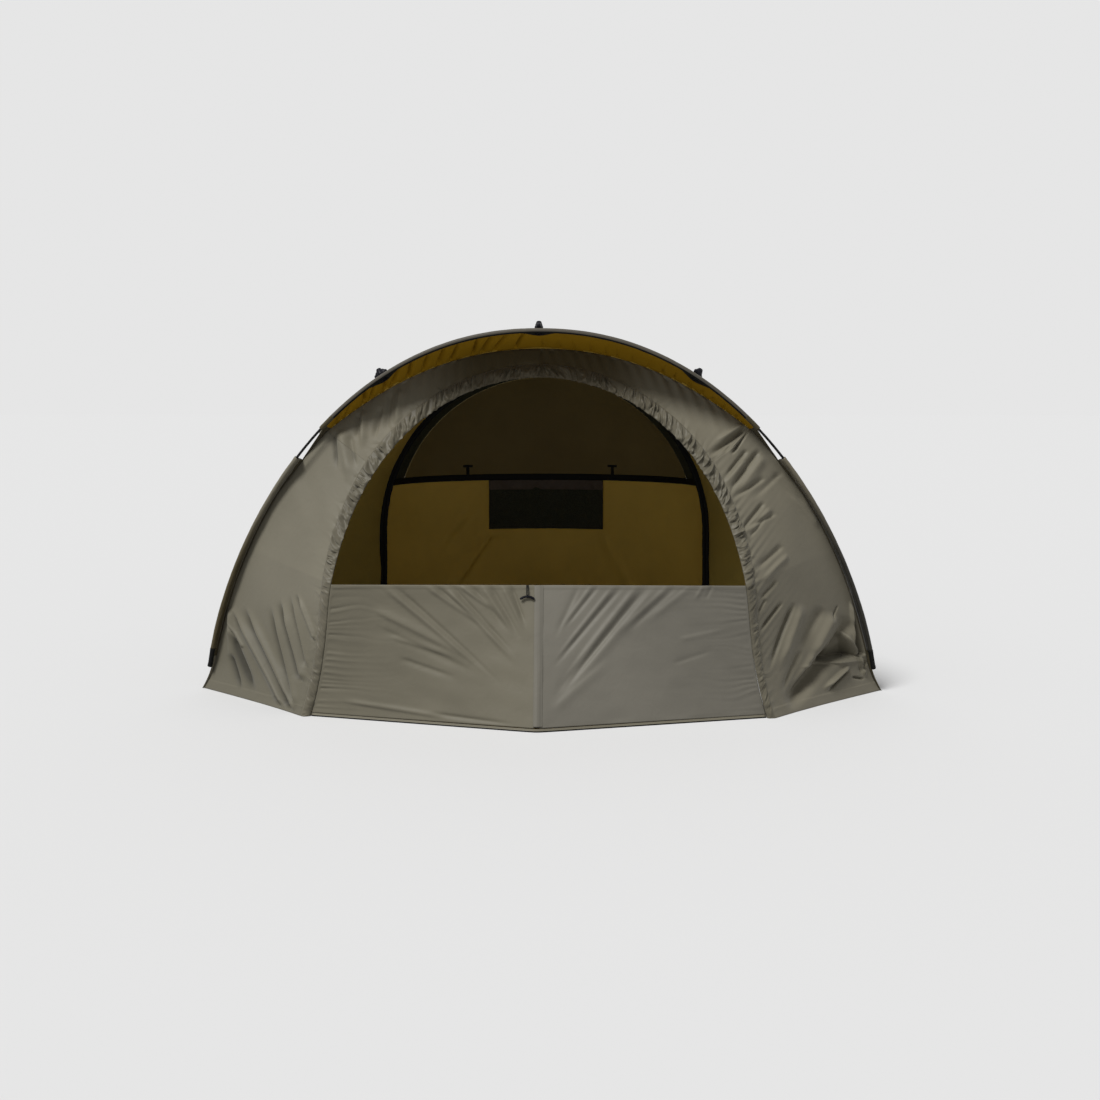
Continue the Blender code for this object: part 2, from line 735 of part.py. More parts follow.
def make_patch(side, share, place):
    """A triangular reinforcement under the canopy, with its base along the sleeve."""
    grid = []
    for part in spread(0.0, 1.0, PATCH_ROWS):
        half = PATCH_HALF_WIDTH * (1 - part) + BOSS_FLANGE_RADIUS * part
        row = []
        for across in spread(-half, half, PATCH_COLUMNS):
            here = share + across / FRONT.length
            row.append(behind_hoop(here, SLEEVE_EDGE + PATCH_DEPTH * part))
        grid.append(row)
    inside = Vector((0, FEET_Y, 0))
    patch = shifted(grid, FABRIC / 2 + GAP + TAPE / 2, inside)
    black = ("black_tape", BLACK_TAPE)
    made = sheet(f"storm_patch_{side}", patch, TAPE, black)
    bore = BOSS_NECK_RADIUS + GAP
    reach = FABRIC + CUT_OVERRUN
    cutter = turned(f"patch_cutter_{side}", [(bore, -reach), (bore, reach)], black)
    cutter.matrix_world = place
    cut(made, cutter)


def wall_fold(share, out, side):
    """Creases that fan out from the wall's foot beside the door."""
    low = share if side == "left" else 1 - share
    fade = max(0.0, 1 - low / SEAM_SHARE)
    edge = math.sin(math.pi * min(max(out, 0.0), 1.0))
    lean = math.atan2(low * WALL_FAN_SPREAD, WALL_FAN_SHARE + out)
    return WALL_FOLD * fade * edge * math.sin(2 * math.pi * WALL_FOLDS * lean / math.pi)


def wall_grid(shares, side, columns):
    grid = []
    for share in shares:
        start = out_by(share, BINDING_WIDTH + SEAM_GAP)
        row = []
        for out in spread(start, 1.0, columns):
            point = front_point(share, out)
            if side != "top":
                depth = wall_fold(share, (out - start) / (1 - start), side)
                ground = min(1.0, point.z / WALL_FOOT_HEIGHT)
                point = point + Vector((0, -depth * ground, 0))
            row.append(point)
        grid.append(row)
    return grid


def make_front_wall():
    """The two side panels and the top of the front, sewn at the junctions with the roof."""
    khaki = ("khaki_fabric", KHAKI)
    slack = SEAM_GAP / OPENING.length
    left = [share for share in BENDS if share < NOTCH_TOP_SHARE] + [NOTCH_TOP_SHARE - slack]
    sheet("front_wall_left", wall_grid(left, "left", WALL_COLUMNS), FABRIC, khaki)
    right = [1 - share for share in reversed(left)]
    sheet("front_wall_right", wall_grid(right, "right", WALL_COLUMNS), FABRIC, khaki)
    top = [share for share in BENDS if NOTCH_TOP_SHARE <= share <= 1 - NOTCH_TOP_SHARE]
    sheet("front_wall_top", wall_grid(top, "top", WALL_TOP_COLUMNS), FABRIC, khaki)


def opening_edge(share):
    """A point of the binding's inner edge, straight between the bends."""
    return on_chord(share, lambda bend: front_point(bend, 0.0))


def make_binding():
    """The elasticated band round the opening, gathered into ruffles."""
    rings = []
    middles = [(low + high) / 2 for low, high in zip(BENDS, BENDS[1:])]
    shares = sorted(BENDS + middles)
    for index, share in enumerate(shares):
        inner = opening_edge(share)
        outer = on_chord(share, lambda bend: front_point(bend, out_by(bend, BINDING_WIDTH)))
        across = outer - inner
        normal = OPENING.tangent(share).cross(across).normalized()
        if normal.y > 0:
            normal = -normal
        normal = Vector((normal.x, normal.y, 0)).normalized()
        swell = 1 + RUFFLE_DEPTH / BINDING_FRONT * (-1, 1)[index % 2]
        ring = []
        for part in spread(0.0, 1.0, 3):
            lift = BINDING_EDGE + BINDING_FRONT * math.sin(math.pi * part) * swell
            ring.append(inner + across * part + normal * lift)
        for part in (1.0, 0.0):
            ring.append(inner + across * part - normal * BINDING_EDGE)
        rings.append(ring)
    loft("door_binding", rings, ("khaki_fabric", KHAKI))


def door_point(side, out, z):
    """A point of a door: out runs from the zip (0) to the opening's edge (1), z is its height."""
    edge_x = opening_half_width(z) - DOOR_SIDE_CLEARANCE
    rise = z / DOOR_HEIGHT
    middle = FRONT_REACH + (DOOR_TOP_REACH - FRONT_REACH) * rise
    y = FEET_Y - middle + (opening_y(z) - FEET_Y + middle) * out
    return Vector((side * edge_x * out, y, z))


def door_fold(out, z):
    """Creases that fan up and outwards from the bottom of the zip."""
    angle = math.atan2(z, out * OPENING_HALF_WIDTH)
    rise = min(1.0, z / (DOOR_HEIGHT * DOOR_FOLD_START_SHARE))
    fade = math.sin(math.pi * out) ** 2 * rise
    return DOOR_FOLD * fade * math.sin(2 * DOOR_FOLDS * angle)


def make_doors():
    """Two low doors that meet at a middle zip, and the sill that they stand on."""
    khaki = ("khaki_fabric", KHAKI)
    tape_look = ("black_tape", BLACK_TAPE)
    bottom = SILL_HEIGHT + DOOR_LIFT
    heights = spread(bottom, DOOR_HEIGHT, DOOR_ROWS)
    doors = {}
    for name, side in (("left", -1), ("right", 1)):
        grid, tape = [], []
        for z in heights:
            width = opening_half_width(z) - DOOR_SIDE_CLEARANCE
            start = (ZIP_TAPE_WIDTH + SEAM_GAP) / width
            row = []
            for out in spread(start, 1.0, DOOR_COLUMNS):
                fold = door_fold(out, z - bottom)
                row.append(door_point(side, out, z) + Vector((0, -fold, 0)))
            grid.append(row)
            zip_end = ZIP_TAPE_WIDTH / width
            zip_start = ZIP_GAP / 2 / width
            rise = max(z, bottom + HINGE_LIFT)  # the tapes stop at the swing line
            tape.append([door_point(side, out, rise) for out in (zip_start, zip_end)])
        panel = sheet(f"door_panel_{name}", grid, FABRIC, khaki)
        doors[name] = [panel, sheet(f"zip_tape_{name}", tape, FABRIC, tape_look)]

    end = -opening_edge(OPENING.share_at_height(SILL_HEIGHT)).x - SEAM_GAP
    corner_y = opening_y(0.0)
    front_y = FEET_Y - FRONT_REACH
    line = [
        Vector((-end, corner_y, 0)),
        Vector((-end / 2, (corner_y + front_y) / 2, 0)),
        Vector((0, front_y, 0)),
        Vector((end / 2, (corner_y + front_y) / 2, 0)),
        Vector((end, corner_y, 0)),
    ]
    rows = [[p + Vector((0, 0, z)) for p in line] for z in (0, SILL_HEIGHT)]
    sheet("sill", rows, SILL_THICKNESS, tape_look)
    return doors


def hinge_line(side):
    """A door's swing line, just above its bottom edge, from the zip to the opening's edge."""
    height = SILL_HEIGHT + DOOR_LIFT + HINGE_LIFT
    return door_point(side, 0.0, height), door_point(side, 1.0, height)


def door_frame(side, out, z):
    """Axes at a point of a door's front face: across to the right, outwards, and up the face."""
    here = door_point(side, out, z)
    step = DOOR_HEIGHT / 20
    up = (door_point(side, out, z + step) - door_point(side, out, z - step)).normalized()
    across = Vector((1, 0, 0))
    outward = up.cross(across).normalized()
    if outward.y > 0:
        outward = -outward
    return here, across, outward, up


def block(name, centre, axes, sizes, look):
    """A box with its sides along three axes."""
    vertices = []
    for x in (-0.5, 0.5):
        for y in (-0.5, 0.5):
            for z in (-0.5, 0.5):
                offset = axes[0] * sizes[0] * x + axes[1] * sizes[1] * y + axes[2] * sizes[2] * z
                vertices.append(centre + offset)
    faces = [(0, 1, 3, 2), (4, 6, 7, 5), (0, 4, 5, 1), (2, 3, 7, 6), (0, 2, 6, 4), (1, 5, 7, 3)]
    return new_object(name, vertices, faces, look)


def make_zip_slider():
    """The slider on the left tape, at the top of its travel."""
    height = DOOR_HEIGHT - SLIDER_DROP
    width = opening_half_width(height) - DOOR_SIDE_CLEARANCE
    middle = ZIP_GAP / 2 + SLIDER_WIDTH / 2
    here, across, outward, up = door_frame(-1, middle / width, height)
    centre = here + outward * (FABRIC / 2 + SLIDER_CLEARANCE + SLIDER_THICKNESS / 2)
    sizes = (SLIDER_WIDTH, SLIDER_THICKNESS, SLIDER_LENGTH)
    look = ("black_plastic", BLACK_PLASTIC)
    made = block("zip_slider", centre, (across, outward, up), sizes, look)
    edge = made.modifiers.new("Edges", "BEVEL")
    edge.width = SLIDER_THICKNESS / 4
    edge.segments = 2
    pivot("zip_travel", centre, -up, [made])


def make_toggle():
    """A bowed toggle that hangs from a loop on the left door's top edge."""
    height = DOOR_HEIGHT - TOGGLE_DROP
    width = opening_half_width(height) - DOOR_SIDE_CLEARANCE
    here, across, outward, up = door_frame(-1, TOGGLE_SET / width, height)
    clear = FABRIC / 2 + DOOR_FOLD / 2 + TOGGLE_RADIUS
    rings = []
    for part in spread(-1.0, 1.0, TOGGLE_RINGS):
        centre = here + across * TOGGLE_LENGTH / 2 * part + outward * clear
        centre = centre - up * TOGGLE_BOW * part**2
        slope = (across * TOGGLE_LENGTH / 2 - up * 2 * TOGGLE_BOW * part).normalized()
        side = slope.cross(outward).normalized()
        fullness = math.sqrt(max(0.0, 1 - part**4))
        radius = TOGGLE_RADIUS * (TOGGLE_TIP_SHARE + (1 - TOGGLE_TIP_SHARE) * fullness)
        angles = spread(0.0, 2 * math.pi, TOGGLE_SIDES)[:-1]
        rings.append(
            [centre + radius * (math.cos(a) * outward + math.sin(a) * side) for a in angles]
        )
    toggle = loft("door_toggle", rings, ("black_plastic", BLACK_PLASTIC))

    top = height + (TOGGLE_RADIUS + GAP) * up.z
    grid = []
    for z in spread(top, DOOR_HEIGHT - GAP, LOOP_ROWS):
        part = (z - top) / (DOOR_HEIGHT - top)
        _, across, outward, up = door_frame(-1, TOGGLE_SET / width, z)
        away = clear * (1 - part) + (FABRIC / 2 + LOOP_CLEARANCE + LOOP_THICKNESS / 2) * part
        centre = door_point(-1, TOGGLE_SET / width, z) + outward * away
        grid.append([centre + across * LOOP_WIDTH * x for x in (-0.5, 0.5)])
    return [toggle, sheet("toggle_loop", grid, LOOP_THICKNESS, ("black_tape", BLACK_TAPE))]


def rear_reach(x, z):
    """How far the rear wall stands behind the rear hoop, over a place in the hoop's plane."""
    rise = z - REAR_CENTRE_HEIGHT
    if rise > 0:
        share = (x * x + rise * rise) / REAR_RADIUS**2
        depth = REAR_DEPTH
    else:
        share = (x / REAR_RADIUS) ** 2
        depth = REAR_DEPTH + REAR_FLARE * -rise / REAR_CENTRE_HEIGHT
    return depth * math.sqrt(max(0.0, 1 - share))


def rear_point(x, z):
    return Vector((x, REAR_Y + rear_reach(x, z), z))


def width_at(z):
    """Half the width of the rear hoop at a height."""
    rise = max(0.0, z - REAR_CENTRE_HEIGHT)
    return math.sqrt(max(0.0, REAR_RADIUS**2 - rise**2))


def edge_angle():
    """How far round the rear wall runs before it meets the sleeve."""
    return math.acos(SLEEVE_EDGE / REAR_DEPTH)


def rear_wall_grid(angles, heights):
    """Rows up the wall, columns round it by angle from the middle."""
    return [[rear_point(width_at(z) * math.sin(a), z) for a in angles] for z in heights]


def dome_point(angle, radius):
    """A point of the dome, by angle from the crown and radius in the hoop's plane."""
    x = radius * math.sin(angle)
    z = REAR_CENTRE_HEIGHT + radius * math.cos(angle)
    return rear_point(x, z)


def surface_of(grids):
    """A tree of the grids' facets, for laying other pieces on them."""
    vertices, faces = [], []
    for grid in grids:
        first, columns = len(vertices), len(grid[0])
        vertices += [point for row in grid for point in row]
        for i in range(len(grid) - 1):
            for j in range(columns - 1):
                corner = first + i * columns + j
                faces.append((corner, corner + 1, corner + columns + 1, corner + columns))
    return BVHTree.FromPolygons(vertices, faces)


def laid_inside(surface, x, z):
    """A point of a tape that lies on the inner face of the rear wall or dome."""
    hit, normal, _, _ = surface.find_nearest(rear_point(x, z))
    if normal.y > 0:
        normal = -normal
    return hit + normal * (FABRIC / 2 + TAPE_LIFT + TAPE / 2)


def wall_angles():
    """The angles of the rear wall's columns, with the window's among them."""
    window_angle = math.asin(WINDOW_HALF_WIDTH / width_at(WINDOW_BOTTOM))
    beside = spread(window_angle, edge_angle(), BESIDE_COLUMNS)
    window = spread(-window_angle, window_angle, WINDOW_COLUMNS)
    return [-angle for angle in reversed(beside)][:-1] + window + beside[1:]


def window_rows():
    return spread(WINDOW_BOTTOM, SEAM_HEIGHT - SEAM_GAP / 2, WINDOW_ROWS)


def make_rear_wall():
    """The lower wall, and the window in it with its mesh."""
    angles = wall_angles()
    heights = spread(HEM_LIFT, WINDOW_BOTTOM, LOWER_ROWS)[:-1] + window_rows()
    rows = range(LOWER_ROWS, LOWER_ROWS + WINDOW_ROWS)
    columns = range(BESIDE_COLUMNS, BESIDE_COLUMNS + WINDOW_COLUMNS)
    window_cells = {(i, j) for i in rows for j in columns}
    wall = rear_wall_grid(angles, heights)
    sheet("rear_wall", wall, FABRIC, ("gold_fabric", GOLD_BROWN), left_out=window_cells)

    behind = angles[BESIDE_COLUMNS : BESIDE_COLUMNS + WINDOW_COLUMNS + 1]
    slack = SEAM_GAP / WINDOW_HALF_WIDTH
    behind = [behind[0] + slack] + behind[1:-1] + [behind[-1] - slack]
    heights = [WINDOW_BOTTOM + SEAM_GAP] + window_rows()[1:]
    mesh = rear_wall_grid(behind, heights)
    sheet("window_mesh", mesh, MESH_FABRIC, ("black_mesh", BLACK_TAPE))
    return [wall]


def dome_columns(radius):
    """The angles round the dome from one end of the seam to the other, at a radius."""
    rise = SEAM_HEIGHT + SEAM_GAP / 2 - REAR_CENTRE_HEIGHT
    end = math.acos(rise / radius)
    return spread(-end, end, DOME_COLUMNS)


def make_dome():
    """The black mesh band round the top, and the dark panel inside it."""
    slant = math.asin(MESH_BAND_INNER_RADIUS / REAR_RADIUS)
    leans = spread(slant, edge_angle(), MESH_BAND_ROWS)
    rings = []
    for lean in leans:
        radius = REAR_RADIUS * math.sin(lean)
        rings.append([dome_point(angle, radius) for angle in dome_columns(radius)])
    sheet("rear_mesh_band", rings, MESH_FABRIC, ("black_mesh", BLACK_TAPE))

    inner = MESH_BAND_INNER_RADIUS - SEAM_GAP
    arch = [dome_point(angle, inner) for angle in dome_columns(inner)]
    foot = SEAM_HEIGHT + SEAM_GAP / 2
    grid = []
    for part in spread(0.0, 1.0, DOME_ROWS):
        grid.append([rear_point(top.x, foot + (top.z - foot) * part) for top in arch])
    for column, beside in ((0, 1), (-1, -2)):
        blunt_corner(grid, column, beside)
    sheet("rear_dome_panel", grid, FABRIC, ("dark_fabric", KHAKI_DARK))
    return [rings, grid]


def blunt_corner(grid, column, beside):
    """Spreads a column whose points all meet in a corner along the two edges that leave it."""
    corner = grid[0][column]
    low, high = grid[0][beside], grid[-1][beside]
    for row, part in zip(grid, spread(0.0, 1.0, len(grid) - 1)):
        row[column] = corner.lerp(low.lerp(high, part), BLUNT_SHARE)


def make_tapes(surface):
    """What is sewn on the inner face: the seam's tape, the window's header and the straps."""
    black = ("black_tape", BLACK_TAPE)
    low, high = SEAM_HEIGHT - SEAM_TAPE_HEIGHT / 2, SEAM_HEIGHT + SEAM_TAPE_HEIGHT / 2
    columns = [width_at(high) * math.sin(angle) for angle in wall_angles()[1:-1]]
    grid = []
    for z in (low, SEAM_HEIGHT - SEAM_GAP, high):
        grid.append([laid_inside(surface, x, z) for x in columns])
    sheet("rear_seam_tape", grid, TAPE, black)

    rows = spread(low - GAP - WINDOW_HEADER_HEIGHT, low - GAP, 2)
    across = spread(-WINDOW_HALF_WIDTH + SEAM_GAP, WINDOW_HALF_WIDTH - SEAM_GAP, WINDOW_COLUMNS)
    grid = [[laid_inside(surface, x, z) for x in across] for z in rows]
    sheet("window_header", grid, TAPE, ("brown_tape", KHAKI_DARK))

    low = high + GAP
    bar = low + STRAP_HEIGHT - STRAP_BAR_HEIGHT
    top = low + STRAP_HEIGHT
    half, wide = STRAP_WIDTH / 2, STRAP_BAR_WIDTH / 2
    for name, x in (("left", STRAP_LEFT_X), ("right", STRAP_RIGHT_X)):
        stem = [[laid_inside(surface, x + d, z) for d in (-half, half)] for z in (low, bar)]
        offsets = (-wide, -half, half, wide)
        head = [[laid_inside(surface, x + d, z) for d in offsets] for z in (bar, top)]
        make_strap(f"hanging_strap_{name}", stem, head)


def make_strap(name, stem, head):
    """A stem with a bar sewn across its top, as one piece of webbing."""
    vertices = stem[0] + head[0] + head[1]
    faces = [(0, 1, 4, 3)] + [(2 + j, 3 + j, 7 + j, 6 + j) for j in range(3)]
    made = new_object(name, vertices, faces, ("black_tape", BLACK_TAPE))
    thicken = made.modifiers.new("Thickness", "SOLIDIFY")
    thicken.thickness = TAPE
    thicken.offset = 0


def make_window_flap():
    """The storm flap that hangs over the window outside."""
    angles = wall_angles()[BESIDE_COLUMNS : BESIDE_COLUMNS + WINDOW_COLUMNS + 1]
    margin = FLAP_MARGIN / WINDOW_HALF_WIDTH * angles[-1]
    angles = [angles[0] - margin] + angles + [angles[-1] + margin]
    rows = [WINDOW_BOTTOM - FLAP_MARGIN] + window_rows()
    outside = Vector((0, REAR_Y + 3 * REAR_DEPTH, REAR_CENTRE_HEIGHT))
    grid = shifted(rear_wall_grid(angles, rows), FABRIC + FLAP_CLEARANCE, outside)
    flap = sheet("window_flap", grid, FABRIC, ("khaki_fabric", KHAKI))
    middle = grid[-1][len(angles) // 2]
    pivot("window_flap_hinge", middle, Vector((1, 0, 0)), [flap])


def main():
    for old in list(bpy.data.objects):
        bpy.data.objects.remove(old)
    make_frame()
    make_canopy()
    make_storm_fittings()
    make_front_wall()
    make_binding()
    doors = make_doors()
    doors["left"] += make_toggle()
    for name, side in (("left", -1), ("right", 1)):
        inner, outer = hinge_line(side)
        pivot(f"door_{name}_hinge", inner, (outer - inner).normalized(), doors[name])
    make_zip_slider()
    make_tapes(surface_of(make_rear_wall() + make_dome()))
    make_window_flap()


main()
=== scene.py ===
"""The looks of a one-person bivvy tent: stretched and creased cloth, gathered binding, webbing,
mesh and mouldings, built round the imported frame.

Metres, +Z up. The front faces -Y, and the origin is on the ground under the middle of the tent.
"""

import json
import math

import bmesh
import bpy
import numpy as np
from mathutils import Matrix, Vector


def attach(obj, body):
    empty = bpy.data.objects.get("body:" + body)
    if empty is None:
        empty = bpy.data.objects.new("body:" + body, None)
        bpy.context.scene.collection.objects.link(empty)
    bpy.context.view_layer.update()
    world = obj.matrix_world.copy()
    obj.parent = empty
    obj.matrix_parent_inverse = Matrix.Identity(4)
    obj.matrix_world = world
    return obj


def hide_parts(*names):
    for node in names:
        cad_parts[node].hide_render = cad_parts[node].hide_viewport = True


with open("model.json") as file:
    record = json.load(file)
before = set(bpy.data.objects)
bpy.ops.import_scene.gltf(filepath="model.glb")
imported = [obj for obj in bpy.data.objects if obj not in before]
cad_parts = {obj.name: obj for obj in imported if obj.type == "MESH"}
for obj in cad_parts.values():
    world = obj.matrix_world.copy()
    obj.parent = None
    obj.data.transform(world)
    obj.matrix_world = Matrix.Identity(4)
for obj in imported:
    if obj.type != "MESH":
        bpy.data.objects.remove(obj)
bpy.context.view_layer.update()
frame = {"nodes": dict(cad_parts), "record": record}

# Camera and light
IMAGE_SIZE = 1100
FOCAL_PIXELS = 1280.0
HORIZON_PIXEL = 370.0
CAMERA_PLACE = (0.113, -5.3285, 1.25)
CAMERA_YAW = 0.0152  # to the left, in radians
BACKGROUND = 0.790
FLOOR_SEEN = 0.722
FLOOR_LIGHT = 0.42  # how much of the light the floor throws back on the tent
SKY_LEVEL = 0.33
SUN_LEVEL = 3.00
SUN_SPREAD = 0.36
SUN_TOWARDS = (-0.36, -0.46, 0.80)
FLOOR_WIDTH = 60.0

# The form, as the frame has it
GAP = 0.0003
SEAM_GAP = 0.0008
SEWN_IN = 0.003  # how far the wall reaches into its binding
HEM_LIFT = 0.0008
FEET_Y = -0.3285
REAR_Y = 0.4515
FRONT_REACH = 0.592
CORNER_REACH = 0.389
DOOR_TOP_REACH = 0.420
REAR_DEPTH = 0.420
REAR_FLARE = 0.050
CANOPY_SAG = 0.060
HOOP_HALF_WIDTH = 1.300
HOOP_HEIGHT = 1.395
HOOP_LEAN = 0.300
HOOP_SIDE_POWER = 2.15
HOOP_TOP_POWER = 0.66
HOOP_FOOT_HEIGHT = 0.100
CANOPY_HEM_FLARE = 0.035
CANOPY_FLARE_HEIGHT = 0.120
REAR_RADIUS = 0.738
REAR_CENTRE_HEIGHT = 0.528
REAR_FOOT_HEIGHT = 0.030
POLE_RADIUS = 0.00475
SLEEVE_RADIUS = 0.00835
SLEEVE_SKIN = 0.0086  # the radius of a sleeve's crinkled skin
CROWN_SLEEVE_SKIN = 0.0090
SLEEVE_TAIL = 0.030  # how far a lower sleeve's flat edge reaches back
SLEEVE_EDGE = SLEEVE_RADIUS + SEAM_GAP
REAR_EDGE = math.acos(SLEEVE_EDGE / REAR_DEPTH)  # the sleeve's angle from the rear dome's axis
ROD_BORE = POLE_RADIUS + GAP
SHADED_END = 0.07  # the length of the crown sleeve's shaded ends
FOOT_DEPTH = 0.070
NOTCH_BOTTOM_HEIGHT = 0.920
NOTCH_TOP_HEIGHT = 1.030
NOTCH_DEPTH = 0.042
NOTCH_POWER = 0.7
WALL_SET_CROWN_SHARE = 0.185
WALL_SET_SIDE_SHARE = 0.042
WALL_SET_FOOT_SHARE = 0.024
WALL_SET_BY_SLEEVE = 0.66  # how much of that the wall keeps beside the lower sleeves
WALL_FOOT_HEIGHT = 0.250
WALL_CLEARANCE = 0.0035
OPENING_HALF_WIDTH = 0.768
OPENING_HEIGHT = 1.2225
OPENING_SIDE_POWER = 3.0
OPENING_TOP_POWER = 0.52
OPENING_FLARE = 0.055
OPENING_FLARE_HEIGHT = 0.350
OPENING_TOP_REACH = 0.155
BINDING_WIDTH = 0.055
SILL_HEIGHT = 0.012
SILL_HALF_WIDTH = 0.8180
DOOR_LIFT = 0.0008
DOOR_HEIGHT = 0.480
DOOR_BOTTOM = SILL_HEIGHT + DOOR_LIFT
DOOR_SIDE_CLEARANCE = 0.0035
TOGGLE_SET = 0.037
TOGGLE_DROP = 0.040
TOGGLE_LENGTH = 0.052
MESH_BAND_INNER_RADIUS = 0.690
SEAM_HEIGHT = 0.735
SEAM_TAPE_HEIGHT = 0.030
TAPE_AWAY = 0.0022  # a sewn-on tape's middle, off that of the cloth under it
TAPE_LOW = SEAM_HEIGHT - SEAM_TAPE_HEIGHT / 2
TAPE_HIGH = SEAM_HEIGHT + SEAM_TAPE_HEIGHT / 2
WINDOW_HALF_WIDTH = 0.275
WINDOW_BOTTOM = 0.482
WINDOW_HEADER_HEIGHT = 0.046
FLAP_MARGIN = 0.025
FLAP_AWAY = 0.0045  # the flap's cut, off the middle of the wall
STRAP_LEFT_X = -0.372
STRAP_RIGHT_X = 0.318
STRAP_WIDTH = 0.013
STRAP_HEIGHT = 0.046
STRAP_BAR_WIDTH = 0.044
STRAP_BAR_HEIGHT = 0.011
STORM_SIDE_X = 0.585
ZIP_TAPE_WIDTH = 0.010
ZIP_GAP = 0.0012
TOOTH_STEP = 0.0032
COVER_START = -0.0125  # the zip cover's free edge, over the left door
COVER_REACH = 0.0190  # its seam on the right door
HINGE_LIFT = 0.003
SLIDER_LENGTH = 0.014
SLIDER_DROP = 0.012
TOGGLE_RADIUS = 0.0050
TOGGLE_BOW = 0.010
TOGGLE_AWAY = 0.0100  # its middle ahead of the door
LOOP_WIDTH = 0.009
FERRULE_LENGTH = 0.060
FERRULE_RADIUS = 0.00625
SLEEVE_BORE = FERRULE_RADIUS + GAP
BOSS_NECK_RADIUS = 0.0060
BOSS_FLANGE_RADIUS = 0.0135
BOSS_TOP = 0.0018  # the upper flange's seat above the canopy's middle
BOSS_UNDER = -0.0041
BOSS_FLANGE = 0.0030
BOSS_STUD_RADIUS = 0.0035
BOSS_STUD_LENGTH = 0.026
CAP_RADIUS = 0.0165
CAP_NECK_RADIUS = 0.0105
CAP_HEIGHT = 0.040
WING_REACH = 0.0300
WING_RISE = 0.0040
CAP_TURNS = {"left": 0.0, "centre": 0.5, "right": 0.22}

CLOTH = 0.0012  # the thickness that cloth shows at its edges
INNER_STRIP = 0.10  # the canopy's inside is shaded up to this far behind the front wall
COLOUR_SPREAD = 0.08  # how far the colour of cloth varies, as a share
NET_HOLE = 0.0035
DEEP_CREASE = 0.012  # a crease this deep gets the darkest painted shade
FOLDS = 1.7  # how deep the creases read off the photo are drawn
INSIDE = np.array((0.0, -0.05, 0.35))  # a point inside the tent, from which cloth faces away
SIDES = (("left", -1), ("right", 1))


class Path:
    """A line through points, read by share of its length from 0 (left foot) to 1 (right foot)."""

    def __init__(self, points):
        self.points = np.array(points)
        steps = np.linalg.norm(np.diff(self.points, axis=0), axis=1)
        lengths = np.concatenate([[0.0], np.cumsum(steps)])
        self.length = lengths[-1]
        self.shares = lengths / self.length

    def at(self, share):
        columns = [np.interp(share, self.shares, self.points[:, k]) for k in range(3)]
        return np.stack(columns, axis=-1)

    def tangent(self, share, step=0.004):
        ahead = self.at(np.minimum(share + step, 1.0)) - self.at(np.maximum(share - step, 0.0))
        return ahead / np.linalg.norm(ahead, axis=-1, keepdims=True)

    def share_at_height(self, height):
        half = len(self.points) // 2 + 1
        return float(np.interp(height, self.points[:half, 2], self.shares[:half]))

    def share_at_x(self, x):
        return float(np.interp(x, self.points[:, 0], self.shares))


def mix(a, b, part):
    return a + (b - a) * np.asarray(part)[..., None]


def unit(vectors):
    return vectors / np.maximum(np.linalg.norm(vectors, axis=-1, keepdims=True), 1e-9)


def full_turn(sides):
    return np.linspace(0, 2 * math.pi, sides, endpoint=False)


def spans(across, along):
    """A grid from two spans, each with its start, its end and its number of points."""
    return np.meshgrid(np.linspace(*across), np.linspace(*along))


def from_foot(share):
    """The share of a hoop's length between a point and the nearer of its feet."""
    return np.minimum(share, 1 - share)


def ease(t):
    t = np.clip(t, 0.0, 1.0)
    return t * t * (3 - 2 * t)


def half_turn(samples):
    return np.linspace(-math.pi / 2, math.pi / 2, samples)


def front_curve():
    angle = half_turn(961)
    across = np.abs(np.sin(angle))
    rise = np.maximum(1 - across**HOOP_SIDE_POWER, 0.0) ** HOOP_TOP_POWER
    z = HEM_LIFT + (HOOP_HEIGHT - HEM_LIFT) * rise
    flare = CANOPY_HEM_FLARE * np.maximum(0.0, 1 - z / CANOPY_FLARE_HEIGHT) ** 2
    x = HOOP_HALF_WIDTH * np.sin(angle) + np.sign(angle) * flare
    y = FEET_Y - HOOP_LEAN * z / HOOP_HEIGHT
    return Path(np.stack([x, y, z], axis=1))


def rear_curve():
    leg = np.linspace(HEM_LIFT, REAR_CENTRE_HEIGHT, 100)[:-1]
    angle = half_turn(401)
    side = np.full(len(leg), REAR_RADIUS)
    x = np.concatenate([-side, REAR_RADIUS * np.sin(angle), side])
    z = np.concatenate([leg, REAR_CENTRE_HEIGHT + REAR_RADIUS * np.cos(angle), leg[::-1]])
    return Path(np.stack([x, np.full(len(x), REAR_Y), z], axis=1))


def opening_half_width(z):
    """Half the width of the door opening at a height."""
    level = np.clip(z / OPENING_HEIGHT, 0.0, 1.0)
    flare = OPENING_FLARE * np.maximum(0.0, 1 - z / OPENING_FLARE_HEIGHT) ** 2
    return OPENING_HALF_WIDTH * (1 - level**OPENING_SIDE_POWER) ** OPENING_TOP_POWER + flare


def opening_y(z):
    low = CORNER_REACH + (DOOR_TOP_REACH - CORNER_REACH) * z / DOOR_HEIGHT
    rise = (z - DOOR_HEIGHT) / (OPENING_HEIGHT - DOOR_HEIGHT)
    high = DOOR_TOP_REACH + (OPENING_TOP_REACH - DOOR_TOP_REACH) * rise
    return FEET_Y - np.where(z < DOOR_HEIGHT, low, high)


def opening_curve():
    angle = half_turn(801)
    across = np.abs(np.sin(angle)) ** (1 / OPENING_TOP_POWER)
    rise = np.maximum(1 - across, 0.0) ** (1 / OPENING_SIDE_POWER)
    z = HEM_LIFT + (OPENING_HEIGHT - HEM_LIFT) * rise
    return Path(np.stack([np.sign(angle) * opening_half_width(z), opening_y(z), z], axis=1))


